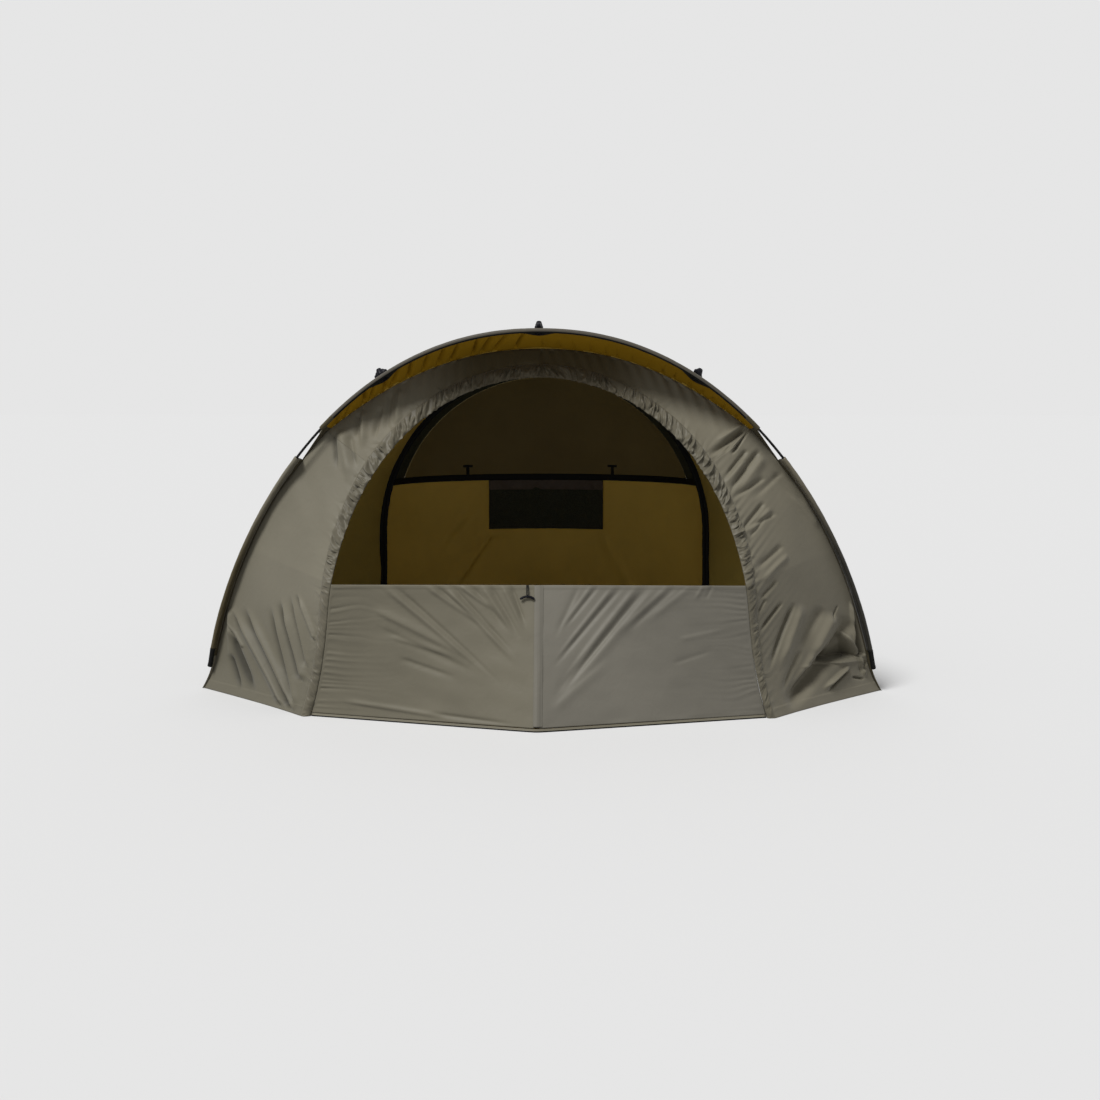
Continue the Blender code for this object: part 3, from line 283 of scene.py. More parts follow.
FRONT = front_curve()
REAR = rear_curve()
OPENING = opening_curve()
SEAM_SHARE = FRONT.share_at_height(NOTCH_BOTTOM_HEIGHT)
NOTCH_TOP_SHARE = FRONT.share_at_height(NOTCH_TOP_HEIGHT)
STORM_SHARES = {
    "left": FRONT.share_at_x(-STORM_SIDE_X),
    "centre": 0.5,
    "right": FRONT.share_at_x(STORM_SIDE_X),
}


def inward_at(share):
    angle = (share - 0.5) * math.pi
    return np.stack([-np.sin(angle), np.zeros_like(angle), -np.cos(angle)], axis=-1)


def canopy_point(share, back):
    dip = CANOPY_SAG * 4 * back * (1 - back) * np.sin(math.pi * share)
    return mix(FRONT.at(share), REAR.at(share), back) + inward_at(share) * dip[..., None]


def back_by(share, distance):
    """The share of the way back that lies this far behind the front hoop."""
    return distance / np.linalg.norm(REAR.at(share) - FRONT.at(share), axis=-1)


def wall_set(share):
    """How far back the front wall meets the canopy, as a share of the way to the rear hoop."""
    from_middle = np.abs(share - 0.5) / (0.5 - NOTCH_TOP_SHARE)
    extra = WALL_SET_CROWN_SHARE - WALL_SET_SIDE_SHARE
    crown = WALL_SET_SIDE_SHARE + extra * (1 - from_middle**2)
    rise = np.minimum(1.0, FRONT.at(share)[..., 2] / WALL_FOOT_HEIGHT)
    side = WALL_SET_FOOT_SHARE + (WALL_SET_SIDE_SHARE - WALL_SET_FOOT_SHARE) * rise
    at_notch = ease((from_foot(share) - SEAM_SHARE) / 0.05 + 1)
    kept = WALL_SET_BY_SLEEVE + (1 - WALL_SET_BY_SLEEVE) * at_notch
    return np.where(from_middle < 1, crown, side * kept)


def wall_outer(share):
    point = canopy_point(share, wall_set(share)) + inward_at(share) * WALL_CLEARANCE
    point[..., 2] = np.maximum(point[..., 2], HEM_LIFT)
    return point


def front_point(share, out):
    """A point of the front face: out runs from the opening's edge (0) to the canopy (1)."""
    return mix(OPENING.at(share), wall_outer(share), out)


def out_by(share, distance):
    return distance / np.linalg.norm(wall_outer(share) - OPENING.at(share), axis=-1)


def front_edge(share):
    """How far behind the hoop the cloth starts: at the sleeve, or cut away at the bare pole."""
    nearer = from_foot(share)
    part = np.clip((NOTCH_TOP_SHARE - nearer) / (NOTCH_TOP_SHARE - SEAM_SHARE), 0, 1)
    notch = SLEEVE_EDGE + (NOTCH_DEPTH - SLEEVE_EDGE) * part**NOTCH_POWER
    return np.where(nearer < SEAM_SHARE, SLEEVE_EDGE, notch)


def canopy_grid(shares, columns):
    share = np.repeat(shares[:, None], columns, axis=1)
    start = back_by(share, front_edge(share))
    end = 1 - back_by(share, SLEEVE_EDGE)
    part = np.linspace(0, 1, columns)[None, :]
    back = start + (end - start) * part
    return canopy_point(share, back), share, back


def door_point(side, out, z):
    """A point of a door: out runs from the zip (0) to the opening's edge (1), z is its height."""
    edge_x = opening_half_width(z) - DOOR_SIDE_CLEARANCE
    middle = FRONT_REACH + (DOOR_TOP_REACH - FRONT_REACH) * z / DOOR_HEIGHT
    y = FEET_Y - middle + (opening_y(z) - FEET_Y + middle) * out
    return np.stack([side * edge_x * out, y, z], axis=-1)


def rear_reach(x, z):
    rise = z - REAR_CENTRE_HEIGHT
    upper = 1 - (x * x + rise * rise) / REAR_RADIUS**2
    lower = 1 - (x / REAR_RADIUS) ** 2
    flare = REAR_FLARE * np.maximum(-rise, 0) / REAR_CENTRE_HEIGHT
    return (REAR_DEPTH + flare) * np.sqrt(np.maximum(np.where(rise > 0, upper, lower), 0.0))


def rear_point(x, z):
    x, z = np.broadcast_arrays(x, z)
    return np.stack([x, REAR_Y + rear_reach(x, z), z], axis=-1)


def width_at(z):
    rise = np.maximum(0.0, z - REAR_CENTRE_HEIGHT)
    return np.sqrt(np.maximum(0.0, REAR_RADIUS**2 - rise**2))


# Unevenness of cloth


def ripple(t, swells, seed):
    """A smooth wave of random height over t from 0 to 1, up and down in turn."""
    random = np.random.default_rng(seed)
    heights = random.uniform(0.25, 1.0, swells + 2) * (-1.0) ** np.arange(swells + 2)
    place = np.clip(t, 0, 1) * swells
    index = np.minimum(place.astype(int), swells)
    part = ease(place - index)
    return heights[index] * (1 - part) + heights[index + 1] * part


def rumple(u, v, seed):
    """Smooth random unevenness between -1 and 1, in cells one unit wide."""
    rows, columns = 97, 89
    table = np.random.default_rng(seed).uniform(-1, 1, (rows, columns))
    i, j = np.floor(u).astype(int), np.floor(v).astype(int)
    a, b = ease(u - i), ease(v - j)
    i, j = i % rows, j % columns
    below, beyond = (i + 1) % rows, (j + 1) % columns
    near = table[i, j] * (1 - b) + table[i, beyond] * b
    far = table[below, j] * (1 - b) + table[below, beyond] * b
    return near * (1 - a) + far * a


def beside(x, z, start, end):
    """How far along a line from start to end, as a share, and how far to its right."""
    run = np.subtract(end, start)
    length = math.hypot(*run)
    along = ((x - start[0]) * run[0] + (z - start[1]) * run[1]) / length**2
    aside = ((x - start[0]) * run[1] - (z - start[1]) * run[0]) / length
    return along, aside * (1 if run[1] > 0 else -1)


def crease(x, z, start, end, width, depth, widening=1.0):
    """A ridge from start to end, or a valley where depth is negative, steeper on one side."""
    along, right = beside(x, z, start, end)
    here = width * (1 + (widening - 1) * np.clip(along, 0, 1))
    gentle, steep = 1.25, 0.7
    here = here * np.where(right * depth > 0, gentle, steep)
    fade = ease(along / 0.22 + 0.15) * ease((1 - along) / 0.4 + 0.1)
    return depth * fade * np.exp(-((right / here) ** 2))


def pleats(x, z, rows):
    """Sharp valleys from start to end, each with a rounded fold that rises to the right of it."""
    depth, crest = 0.0, 0.34
    for start, end, reach, height in rows:
        along, right = beside(x, z, start, end)
        part = right / reach
        fade = ease(along / 0.35 + 0.05) * ease((1 - along) / 0.12 + 0.1)
        valley = np.exp(-((part / np.where(part < 0, 0.44, 0.20)) ** 2))
        fold = np.exp(-(((part - crest) / np.where(part > crest, 0.42, 0.16)) ** 2))
        depth = depth + height * fade * (1.9 * fold - 2.4 * valley)
    return depth


def creases(x, z, rows):
    return FOLDS * sum(crease(x, z, *row) for row in rows)


# Building meshes


def normals_of(grid):
    """The surface's unit normals, on the side that faces away from the inside of the tent."""
    along, across = np.gradient(grid, axis=0), np.gradient(grid, axis=1)
    normal = unit(np.cross(along, across))
    side = np.sign(np.median((normal * (grid - INSIDE)).sum(axis=-1)))
    return normal * side


def raised(grid, depth):
    """The grid with each point moved outwards by a depth."""
    return grid + normals_of(grid) * depth[..., None]


def add_object(name, data):
    made = bpy.data.objects.new(name, data)
    bpy.context.scene.collection.objects.link(made)
    return made


def build(name, vertices, faces, materials):
    mesh = bpy.data.meshes.new(name)
    mesh.from_pydata(np.asarray(vertices).tolist(), [], faces)
    mesh.update()
    mesh.shade_smooth()
    for material in materials:
        mesh.materials.append(material)
    return add_object(name, mesh)


def declare(made, body, node):
    """Hangs a piece on the body that carries it, and hides the frame's node that it stands for."""
    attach(made, body)
    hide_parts(node)


def grid_faces(rows, columns, turned=False, wrap=False):
    i, j = np.meshgrid(np.arange(rows - 1), np.arange(columns - (0 if wrap else 1)), indexing="ij")
    a = (i * columns + j).ravel()
    b = (i * columns + (j + 1) % columns).ravel()
    quads = np.stack([a, b, b + columns, a + columns], axis=1)
    return (quads[:, ::-1] if turned else quads).tolist()


def faces_inwards(grid):
    """Whether the grid's cells, in the order of their corners, face the inside of the tent."""
    row, column = grid.shape[0] // 2, grid.shape[1] // 2
    middle = grid[row, column]
    along, across = grid[row + 1, column] - middle, grid[row, column + 1] - middle
    return np.cross(across, along) @ (middle - INSIDE) < 0


def thicken(made, dark_rim):
    """Gives cloth its thickness, with the second of two materials on its inside."""
    layer = made.modifiers.new("Thickness", "SOLIDIFY")
    layer.thickness = CLOTH
    layer.offset = 0
    layer.material_offset = min(len(made.data.materials) - 1, 1)
    layer.material_offset_rim = 1 if dark_rim else 0


def cloth(name, node, creased, materials, body="tent", skip=None,
          dark_rim=False, pairs=None, crease_shade=None):
    """A piece of cloth along a creased grid.

    The materials are those outside and inside. Where the pairs' grid says so, a cell has another
    pair of the list. Cells whose middle is to be skipped are left out.
    """
    faces = grid_faces(*creased.shape[:2], turned=faces_inwards(creased))
    points = creased.reshape(-1, 3)
    kept = np.array([skip is None or not skip(points[face].mean(axis=0)) for face in faces])
    faces = [face for face, stays in zip(faces, kept) if stays]
    made = build(name, points, faces, materials)
    # where given, how deep each point lies in a crease, stored on the mesh for the painted crease
    # shade
    if crease_shade is not None:
        layer = made.data.attributes.new("crease_shade", "FLOAT", "POINT")
        layer.data.foreach_set("value", crease_shade.ravel().astype(np.float32))
    if pairs is not None:
        indices = 2 * pairs[:-1, :-1].ravel()[kept].astype(np.int32)
        made.data.polygons.foreach_set("material_index", indices)
    thicken(made, dark_rim)
    declare(made, body, node)


def face_outwards(thing):
    work = bmesh.new()
    work.from_mesh(thing.data)
    bmesh.ops.recalc_face_normals(work, faces=work.faces)
    work.to_mesh(thing.data)
    work.free()


def tube(name, rings, materials):
    """A skin over rings of points, with its ends filled."""
    rows, columns = rings.shape[:2]
    faces = grid_faces(rows, columns, wrap=True)
    faces.append(list(range(columns))[::-1])
    faces.append(list(range((rows - 1) * columns, rows * columns)))
    made = build(name, rings.reshape(-1, 3), faces, materials)
    face_outwards(made)
    return made


def oval(centre, wide, high, sides, power=1.0):
    """A ring of points, from its two half axes. A power below 1 draws it towards a rectangle."""
    ring = []
    for k in range(sides):
        angle = 2 * math.pi * k / sides
        a, b = (math.copysign(abs(v) ** power, v) for v in (math.cos(angle), math.sin(angle)))
        ring.append(centre + wide * a + high * b)
    return ring


# Materials


def feed(tree, sockets, values):
    """Gives each socket its value, or links it to the socket that feeds it."""
    for key, value in values.items():
        if isinstance(value, bpy.types.NodeSocket):
            tree.links.new(value, sockets[key])
        else:
            sockets[key].default_value = value


def add(tree, kind, values=None, **settings):
    made = tree.nodes.new(kind)
    for name, value in settings.items():
        setattr(made, name, value)
    feed(tree, made.inputs, values or {})
    return made


def texture(tree, kind, values, output="Fac", **settings):
    """An output of a node that reads the place on the object, in metres."""
    place = add(tree, "ShaderNodeTexCoord").outputs["Object"]
    return add(tree, kind, {"Vector": place, **values}, **settings).outputs[output]


def ramp(tree, source, low, high, start=0.3, end=0.7):
    made = add(tree, "ShaderNodeValToRGB", {"Fac": source})
    for stop, position, colour in zip(made.color_ramp.elements, (start, end), (low, high)):
        stop.position = position
        stop.color = (*colour, 1)
    return made.outputs["Color"]


def spread(tree, source, low, high):
    """A value between 0 and 1, brought to between low and high."""
    made = add(tree, "ShaderNodeMapRange", {"Value": source, "To Min": low, "To Max": high})
    return made.outputs["Result"]


def blend(tree, part, low, high):
    made = add(tree, "ShaderNodeMix", {"Factor": part, "A": low, "B": high}, data_type="RGBA")
    return made.outputs["Result"]


def bumped(tree, height, strength, distance, **under):
    """A normal with a bump on it, or on the one that is given as Normal."""
    values = {"Height": height, "Strength": strength, "Distance": distance, **under}
    return add(tree, "ShaderNodeBump", values).outputs["Normal"]


def new_material(name):
    """A material with its node tree and the sockets of its shader."""
    made = bpy.data.materials.new(name)
    made.use_nodes = True
    return made, made.node_tree, made.node_tree.nodes["Principled BSDF"].inputs


def fabric(name, colour, rough=(0.48, 0.60), sheen=0.10, thread=0.0007, wrinkle=0.30, gloss=0.35):
    """Woven, coated cloth: fine threads, soft small wrinkles and slightly uneven colour."""
    made, tree, sockets = new_material(name)
    patches = texture(tree, "ShaderNodeTexNoise", {"Scale": 3.2, "Detail": 4.0})
    small = texture(tree, "ShaderNodeTexNoise", {"Scale": 24.0, "Detail": 5.0, "Distortion": 0.6})
    low = tuple(c * (1 - COLOUR_SPREAD) for c in colour)
    high = tuple(c * (1 + COLOUR_SPREAD) for c in colour)
    normal = bumped(tree, small, wrinkle, 0.004)
    for direction in ("X", "Z"):
        threads = texture(tree, "ShaderNodeTexWave", {"Scale": 0.314 / thread, "Distortion": 0.4},
                          bands_direction=direction)
        normal = bumped(tree, threads, 0.12, thread * 0.2, Normal=normal)
    feed(tree, sockets, {
        "Base Color": ramp(tree, patches, low, high),
        "Roughness": spread(tree, small, *rough),
        "Specular IOR Level": gloss,
        "Sheen Weight": sheen,
        "Sheen Roughness": 0.45,
        "Normal": normal,
    })
    return made


def base_colour(made):
    """A material's node tree, the socket of its base colour, and the one that feeds that."""
    target = made.node_tree.nodes["Principled BSDF"].inputs["Base Color"]
    return made.node_tree, target, target.links[0].from_socket


def graded(name, low, high, start, end, across=False, **settings):
    """Cloth whose colour goes from low to high with its height, or with its distance from x = 0."""
    made = fabric(name, high, **settings)
    tree, target, upper = base_colour(made)
    level = texture(tree, "ShaderNodeSeparateXYZ", {}, "X" if across else "Z")
    if across:
        level = add(tree, "ShaderNodeMath", {0: level}, operation="ABSOLUTE").outputs[0]
    part = add(tree, "ShaderNodeMapRange", {"Value": level, "From Min": start, "From Max": end},
               interpolation_type="SMOOTHSTEP").outputs["Result"]
    tree.links.new(blend(tree, part, (*low, 1), upper), target)
    return made


def painted_crease_shade(made, level):
    """Painted shade: takes the colour down in the depth of a crease, as the mesh's own values say.
    """
    tree, target, under = base_colour(made)
    crease_shade = add(tree, "ShaderNodeAttribute", attribute_name="crease_shade").outputs["Fac"]
    dimmed = add(tree, "ShaderNodeVectorMath",
                 {"Vector": under, "Scale": spread(tree, crease_shade, 1.0, level)}, operation="SCALE")
    tree.links.new(dimmed.outputs["Vector"], target)
    return made


def netting(name, colour):
    """Fine insect mesh: a dark knitted grid."""
    made, tree, sockets = new_material(name)
    distance = texture(tree, "ShaderNodeTexVoronoi", {"Scale": 1 / NET_HOLE}, "Distance")
    dark = tuple(c * 0.35 for c in colour)
    feed(tree, sockets, {
        "Base Color": ramp(tree, distance, dark, colour, 0.25, 0.6),
        "Roughness": 0.7,
        "Specular IOR Level": 0.15,
        "Normal": bumped(tree, distance, 0.5, 0.0006),
    })
    return made


def smooth_solid(name, colour, rough, specular=0.5, grain=0.15, metallic=0.0):
    """A moulding, rod or tube, with a faint grain and rubbed patches."""
    made, tree, sockets = new_material(name)
    worn = texture(tree, "ShaderNodeTexNoise", {"Scale": 60.0, "Detail": 6.0})
    speckle = texture(tree, "ShaderNodeTexNoise", {"Scale": 900.0, "Detail": 2.0})
    light = tuple(c * 1.8 + 0.001 for c in colour)
    feed(tree, sockets, {
        "Base Color": ramp(tree, worn, colour, light),
        "Roughness": spread(tree, worn, *rough),
        "Metallic": metallic,
        "Specular IOR Level": specular,
        "Normal": bumped(tree, speckle, grain, 0.0002),
    })
    return made


KHAKI_COLOUR = (0.165, 0.150, 0.110)
KHAKI = fabric("khaki_outside", KHAKI_COLOUR, gloss=0.20)
# The doors' khakis are copies of one cloth that differ only as light falls on them: the left door's
# is darker and browner, as painted shade
DOOR_LEFT_PAINTED_SHADE = fabric("khaki_left_door_painted_shade", (0.147, 0.134, 0.098), gloss=0.20)
# Painted shade: a darker copy of the khaki, which tones down the crown sleeve's top-lit face
RIM_PAINTED_SHADE = fabric("khaki_rim_painted_shade", (0.080, 0.071, 0.055), gloss=0.2)
# Painted shade: the left wall's khaki is darker towards the bottom, and darker still in the depth
# of its creases
WALL_LEFT_PAINTED_SHADE = painted_crease_shade(
    graded("khaki_left_wall_painted_shade", (0.132, 0.121, 0.088), (0.170, 0.156, 0.116), 0.12, 0.46, gloss=0.20),
    0.34)
# Painted shadow of the roof's overhang: the wall's khaki is darker towards its middle
WALL_TOP_PAINTED_SHADOW = graded("khaki_painted_eave_shadow", (0.068, 0.054, 0.027), KHAKI_COLOUR, 0.20, 0.52,
                  across=True, gloss=0.12)
# Painted shade: the binding's khaki is darker towards the middle, under the crown
GATHERED_PAINTED_SHADE = graded("khaki_binding_painted_shade", (0.078, 0.064, 0.038), (0.122, 0.110, 0.079), 0.10, 0.60,
                  across=True, rough=(0.42, 0.52), gloss=0.20, wrinkle=0.5)
# Painted shade: the lower sleeves' khaki is darker towards the bottom, on the right nearly black
SLEEVES_PAINTED_SHADE = {
    "left": graded("khaki_sleeve_left_painted_shade", (0.060, 0.045, 0.015), (0.160, 0.145, 0.105), 0.45, 0.85),
    "right": graded("khaki_sleeve_right_painted_shade", (0.010, 0.008, 0.003), (0.150, 0.132, 0.090), 0.50, 0.95),
}
# The right door's greyer copy of the khaki, as painted light, also on the zip cover
DOOR_RIGHT_PAINTED_LIGHT = fabric("khaki_right_door_painted_light", (0.154, 0.144, 0.118), gloss=0.20)
# Painted shade: a darker copy of the khaki, on inner faces and on the crown sleeve's shaded ends
KHAKI_SHADE = fabric("khaki_painted_shade", (0.060, 0.050, 0.026), gloss=0.15)
LINING = fabric("gold_lining", (0.290, 0.160, 0.008), sheen=0.0, gloss=0.06)
# Painted light: a brightened copy of the gold lining, for the light that comes through the cloth
# into the tent
GOLD_PAINTED_LIGHT = fabric("gold_inside_painted_light", (0.690, 0.480, 0.100), sheen=0.0, gloss=0.12)
# Painted light: a brightened copy of the gold lining, lighter still towards the top of the canopy
CANOPY_GOLD_PAINTED_LIGHT = graded("gold_canopy_painted_light", (0.400, 0.295, 0.072), (0.630, 0.430, 0.080),
                     0.75, 1.15, sheen=0.0, gloss=0.10)
DARK = fabric("dark_panel", (0.182, 0.138, 0.054), sheen=0.0, gloss=0.10)
BLACK = fabric("black_webbing", (0.0055, 0.0055, 0.005), thread=0.0016, sheen=0.02, gloss=0.1)
BROWN = fabric("brown_webbing", (0.068, 0.050, 0.036), thread=0.0012, sheen=0.05, gloss=0.3)
NET = netting("black_netting", (0.040, 0.042, 0.027))
GLOSS = smooth_solid("black_moulding", (0.003, 0.003, 0.005), (0.34, 0.44), 0.10, 0.03)
ROD = smooth_solid("fibreglass_rod", (0.003, 0.003, 0.003), (0.35, 0.5), 0.15)
STEEL = smooth_solid("steel_tube", (0.42, 0.42, 0.44), (0.28, 0.42), metallic=1.0)

LOOKS = {
    "khaki_fabric": KHAKI,
    "gold_fabric": GOLD_PAINTED_LIGHT,
    "dark_fabric": DARK,
    "black_mesh": NET,
    "black_tape": BLACK,
    "brown_tape": BROWN,
    "black_plastic": GLOSS,
    "fibreglass": ROD,
    "steel": STEEL,
}


def dress_frame():
    """Gives every node of the frame the look of its material slot."""
    slots = {part["node"]: part["material_slot"] for part in frame["record"]["subparts"]}
    for name, thing in frame["nodes"].items():
        thing.data.materials.clear()
        thing.data.materials.append(LOOKS[slots[name]])


# Canopy


def tucks(share, back):
    """Slanting creases in the roof's front strip, which hangs free ahead of the front wall."""
    random = np.random.default_rng(17)
    part = np.clip(back / wall_set(share), 0, 1.15)
    depth = np.zeros_like(share)
    place = NOTCH_TOP_SHARE + 0.012
    while place < 1 - NOTCH_TOP_SHARE - 0.012:
        left = place < 0.5
        lean = (0.018 if left else -0.004) * random.uniform(0.7, 1.2)
        deep = random.uniform(0.016, 0.026) if left else random.uniform(0.006, 0.012)
        width = random.uniform(0.0014, 0.0022) if left else random.uniform(0.0008, 0.0013)
        aside = (share - place + lean * part) / width
        ends = ease(part / 0.5) * ease((0.99 - part) / 0.07)
        if not left:
            ends = np.clip((part - 0.3) / 0.7, 0, 1) ** 1.5 * ease((0.99 - part) / 0.05)
        depth += deep * np.exp(-np.where(aside > 0, aside * 0.6, aside * 1.6) ** 2) * ends
        place += random.uniform(0.0110, 0.0170)
    return depth


def roof_depth(share, back):
    """The roof's tucks, its rise round the screws, its slack, and the ridge of the wall's seam."""
    depth = tucks(share, back)
    for place in STORM_SHARES.values():
        away = (share - place) * FRONT.length
        depth += 0.004 * np.exp(-((away / (0.04 + 0.16 * back)) ** 2)) * (1 - ease(back / 0.5))
    behind = ease((back - wall_set(share)) / 0.15)
    held = behind * (1 - ease(back * 1.2 - 0.2))
    depth += 0.004 * rumple(share * 26 + back * 2, back * 1.6, 21) * held
    depth += 0.003 * rumple(share * 30 - back * 3, back * 1.5 + 7, 22) * behind
    seam = np.abs(back - wall_set(share)) / back_by(share, 0.006)
    return depth + 0.0012 * (1 - ease(seam - 0.4))


def near_wall(share, back):
    """The strip of the canopy up to a little behind its seam with the front wall."""
    return back < wall_set(share) + back_by(share, INNER_STRIP)


def make_roof():
    rows, columns = 900, 110
    grid, share, back = canopy_grid(np.linspace(SEAM_SHARE, 1 - SEAM_SHARE, rows), columns)
    # inside: the painted-light gold over most of the roof, the lining on the strip ahead of the
    # front wall, and at the notches near the wall the painted-shade khaki
    pairs = np.where(back < wall_set(share), 1, 0)
    at_notch = from_foot(share) < NOTCH_TOP_SHARE + 0.004
    pairs = np.where(at_notch & near_wall(share, back), 2, pairs)
    cloth("roof", "canopy_roof", raised(grid, roof_depth(share, back)),
          [KHAKI, CANOPY_GOLD_PAINTED_LIGHT, KHAKI, LINING, KHAKI, KHAKI_SHADE], pairs=pairs)


def make_sides():
    rows, columns = 200, 120
    low_part = np.linspace(0.0, SEAM_SHARE, rows)
    for side, sign in SIDES:
        shares = low_part if sign < 0 else 1 - low_part[::-1]
        grid, share, back = canopy_grid(shares, columns)
        low = from_foot(share) / SEAM_SHARE
        depth = 0.007 * ripple(back, 9, 31 + sign) * (1 - ease(low * 1.4)) * np.sin(math.pi * back)
        slack = rumple(low * 7 + back * 4, back * 5 - low * 5, 33 + sign)
        depth += 0.005 * slack * np.sin(math.pi * low) * ease(back / 0.06)
        # inside: the painted-light gold, with the painted-shade khaki near the front wall; at the
        # left side's lowest corner, plain khaki
        pairs = np.where(near_wall(share, back), 1, 0)
        if sign < 0:
            pairs = np.where((pairs == 1) & (grid[..., 2] < 0.13), 2, pairs)
        cloth(f"canopy_{side}", f"canopy_side_{side}", raised(grid, depth),
              [KHAKI, CANOPY_GOLD_PAINTED_LIGHT, KHAKI, KHAKI_SHADE, KHAKI, KHAKI], pairs=pairs)


# Front wall


def in_metres(table):
    """Creases from rows in millimetres: x and z of both ends, a width, a depth, and any factor."""
    return [((x1 / 1000, z1 / 1000), (x2 / 1000, z2 / 1000), width / 1000, depth / 1000, *factor)
            for x1, z1, x2, z2, width, depth, *factor in table]


LEFT_PLEATS = in_metres((
    (-1204, 326, -946, 1, 34, 9),
    (-1213, 272, -1138, 182, 14, 4),
    (-1139, 338, -897, 1, 40, 10),
    (-1013, 365, -890, 21, 36, 6),
    (-970, 391, -864, 113, 36, 9),
    (-922, 415, -844, 167, 26, 4),
    (-893, 424, -812, 267, 20, 7),
))
WALL_CREASES = in_metres((
    (-1200, 232, -1077, 30, 19, -9),
    (-1200, 151, -1141, 22, 12, -6),
    (-1202, 331, -1202, 146, 14, 6),
    (-772, 1022, -755, 878, 9, -4),
    (-751, 1025, -698, 827, 22, 6),
    (-712, 1009, -681, 880, 14, -4),
    (-681, 1089, -682, 987, 10, -4),
    (-669, 1098, -660, 955, 14, 5),
    (-599, 1112, -618, 989, 10, -4),
    (-560, 1170, -575, 1020, 12, -4),
    (-530, 1180, -540, 1040, 12, 4),
    (781, 1035, 628, 927, 10, -10),
    (775, 1025, 681, 937, 8, -5),
    (789, 1028, 715, 933, 6, -9),
    (768, 1044, 663, 984, 12, 6),
    (789, 1028, 700, 945, 7, 6),
    (779, 951, 690, 851, 9, -6),
    (765, 915, 675, 814, 16, 4),
    (830, 948, 701, 804, 10, -8),
    (846, 929, 735, 798, 16, 4),
    (846, 847, 710, 776, 9, -5),
    (922, 867, 783, 768, 12, -3),
    (838, 758, 735, 662, 9, -6),
    (860, 737, 755, 652, 13, 4),
    (833, 698, 761, 633, 8, -4),
    (883, 716, 743, 670, 9, -4),
    (905, 600, 779, 523, 11, -5),
    (923, 568, 794, 484, 12, 4),
    (873, 479, 792, 419, 9, -5),
    (892, 397, 799, 308, 7, -7),
    (825, 420, 791, 371, 6, -5),
    (943, 387, 836, 171, 10, -9),
    (974, 378, 877, 161, 20, 7),
    (1068, 353, 968, 207, 20, -7),
    (974, 212, 888, 79, 13, -6),
    (1025, 193, 923, 67, 20, 7),
    (1201, 286, 1073, 159, 30, -12),
    (1130, 181, 905, 25, 34, -24),
    (1113, 325, 1009, 164, 30, 10),
    (1156, 257, 1226, 143, 7, 10),
    (1224, 153, 1260, 60, 7, 8),
    (1189, 102, 1085, 40, 7, -8),
    (1185, 116, 1063, 52, 10, 8),
    (1199, 73, 1254, 55, 4, -7),
    (1192, 360, 1219, 172, 7, 6),
    (1135, 353, 1105, 300, 4, -4),
    (966, 152, 1262, 124, 5, 4),
    (1059, 144, 1141, 133, 6, -4),
    (1263, 119, 1236, 79, 12, -6),
    (1009, 747, 871, 875, 14, -3),
    (1060, 650, 930, 800, 14, 3),
))


def hollow(x, z):
    """The wedge at the lower right, where the cloth falls back towards a horizontal crease."""
    apex, base = (1.150, 0.268), 0.146
    _, right = beside(x, z, apex, (1.222, base))
    _, left = beside(x, z, apex, (1.070, base))
    above_crease = ease((z - 0.142) / 0.010)
    fall = np.clip((apex[1] - z) / 0.122, 0, 1.1)
    depth = fall * ease(-right / 0.012) * ease(left / 0.030) * above_crease
    fall = np.clip((0.370 - z) / 0.22, 0, 1)
    beyond = fall * ease((x - 1.215 + 0.1 * (z - 0.15)) / 0.012) * above_crease
    return -0.075 * depth - 0.040 * beyond


def foot_bulge(share, away):
    """How far the front's lower corners stand forward beside the binding."""
    low = np.clip(1 - OPENING.at(share)[..., 2] / 0.45, 0, 1) ** 2
    return 0.028 * low * np.exp(-away / 0.22)


def band_width(share):
    """The binding's width, which is less in its lower parts."""
    height = OPENING.at(share)[..., 2]
    least = np.where(share < 0.5, 0.82, 0.68)
    return BINDING_WIDTH * (least + (1 - least) * ease((height - 0.30) / 0.35))


def wall_grid(shares, columns):
    """Points of the front wall, with their share, and how far inside both of its edges they are."""
    share = np.repeat(shares[:, None], columns, axis=1)
    start = out_by(share, band_width(share) - SEWN_IN)
    out = start + (1 - start) * np.linspace(0, 1, columns)[None, :]
    grid = front_point(share, out)
    width = np.linalg.norm(wall_outer(share) - OPENING.at(share), axis=-1)
    away, room = (out - start) * width, (1 - out) * width
    grid[..., 1] -= foot_bulge(share, away) * (1 - ease((out - start) / (1 - start)))
    return grid, share, away, room


def gathered(share, away, period, reach, depth, seed):
    """Small tucks along a gathered seam, which fade away from it."""
    t = share + 0.004 * rumple(share * 90, away * 30, seed)
    tuck = ripple(t, int(OPENING.length / period), seed)
    return depth * np.where(tuck < 0, -np.abs(tuck) ** 2, tuck**2) * np.exp(-away / reach)


def wall_folds(x, z):
    """The front wall's large folds and creases."""
    return pleats(x, z, LEFT_PLEATS) + 1.25 * creases(x, z, WALL_CREASES)


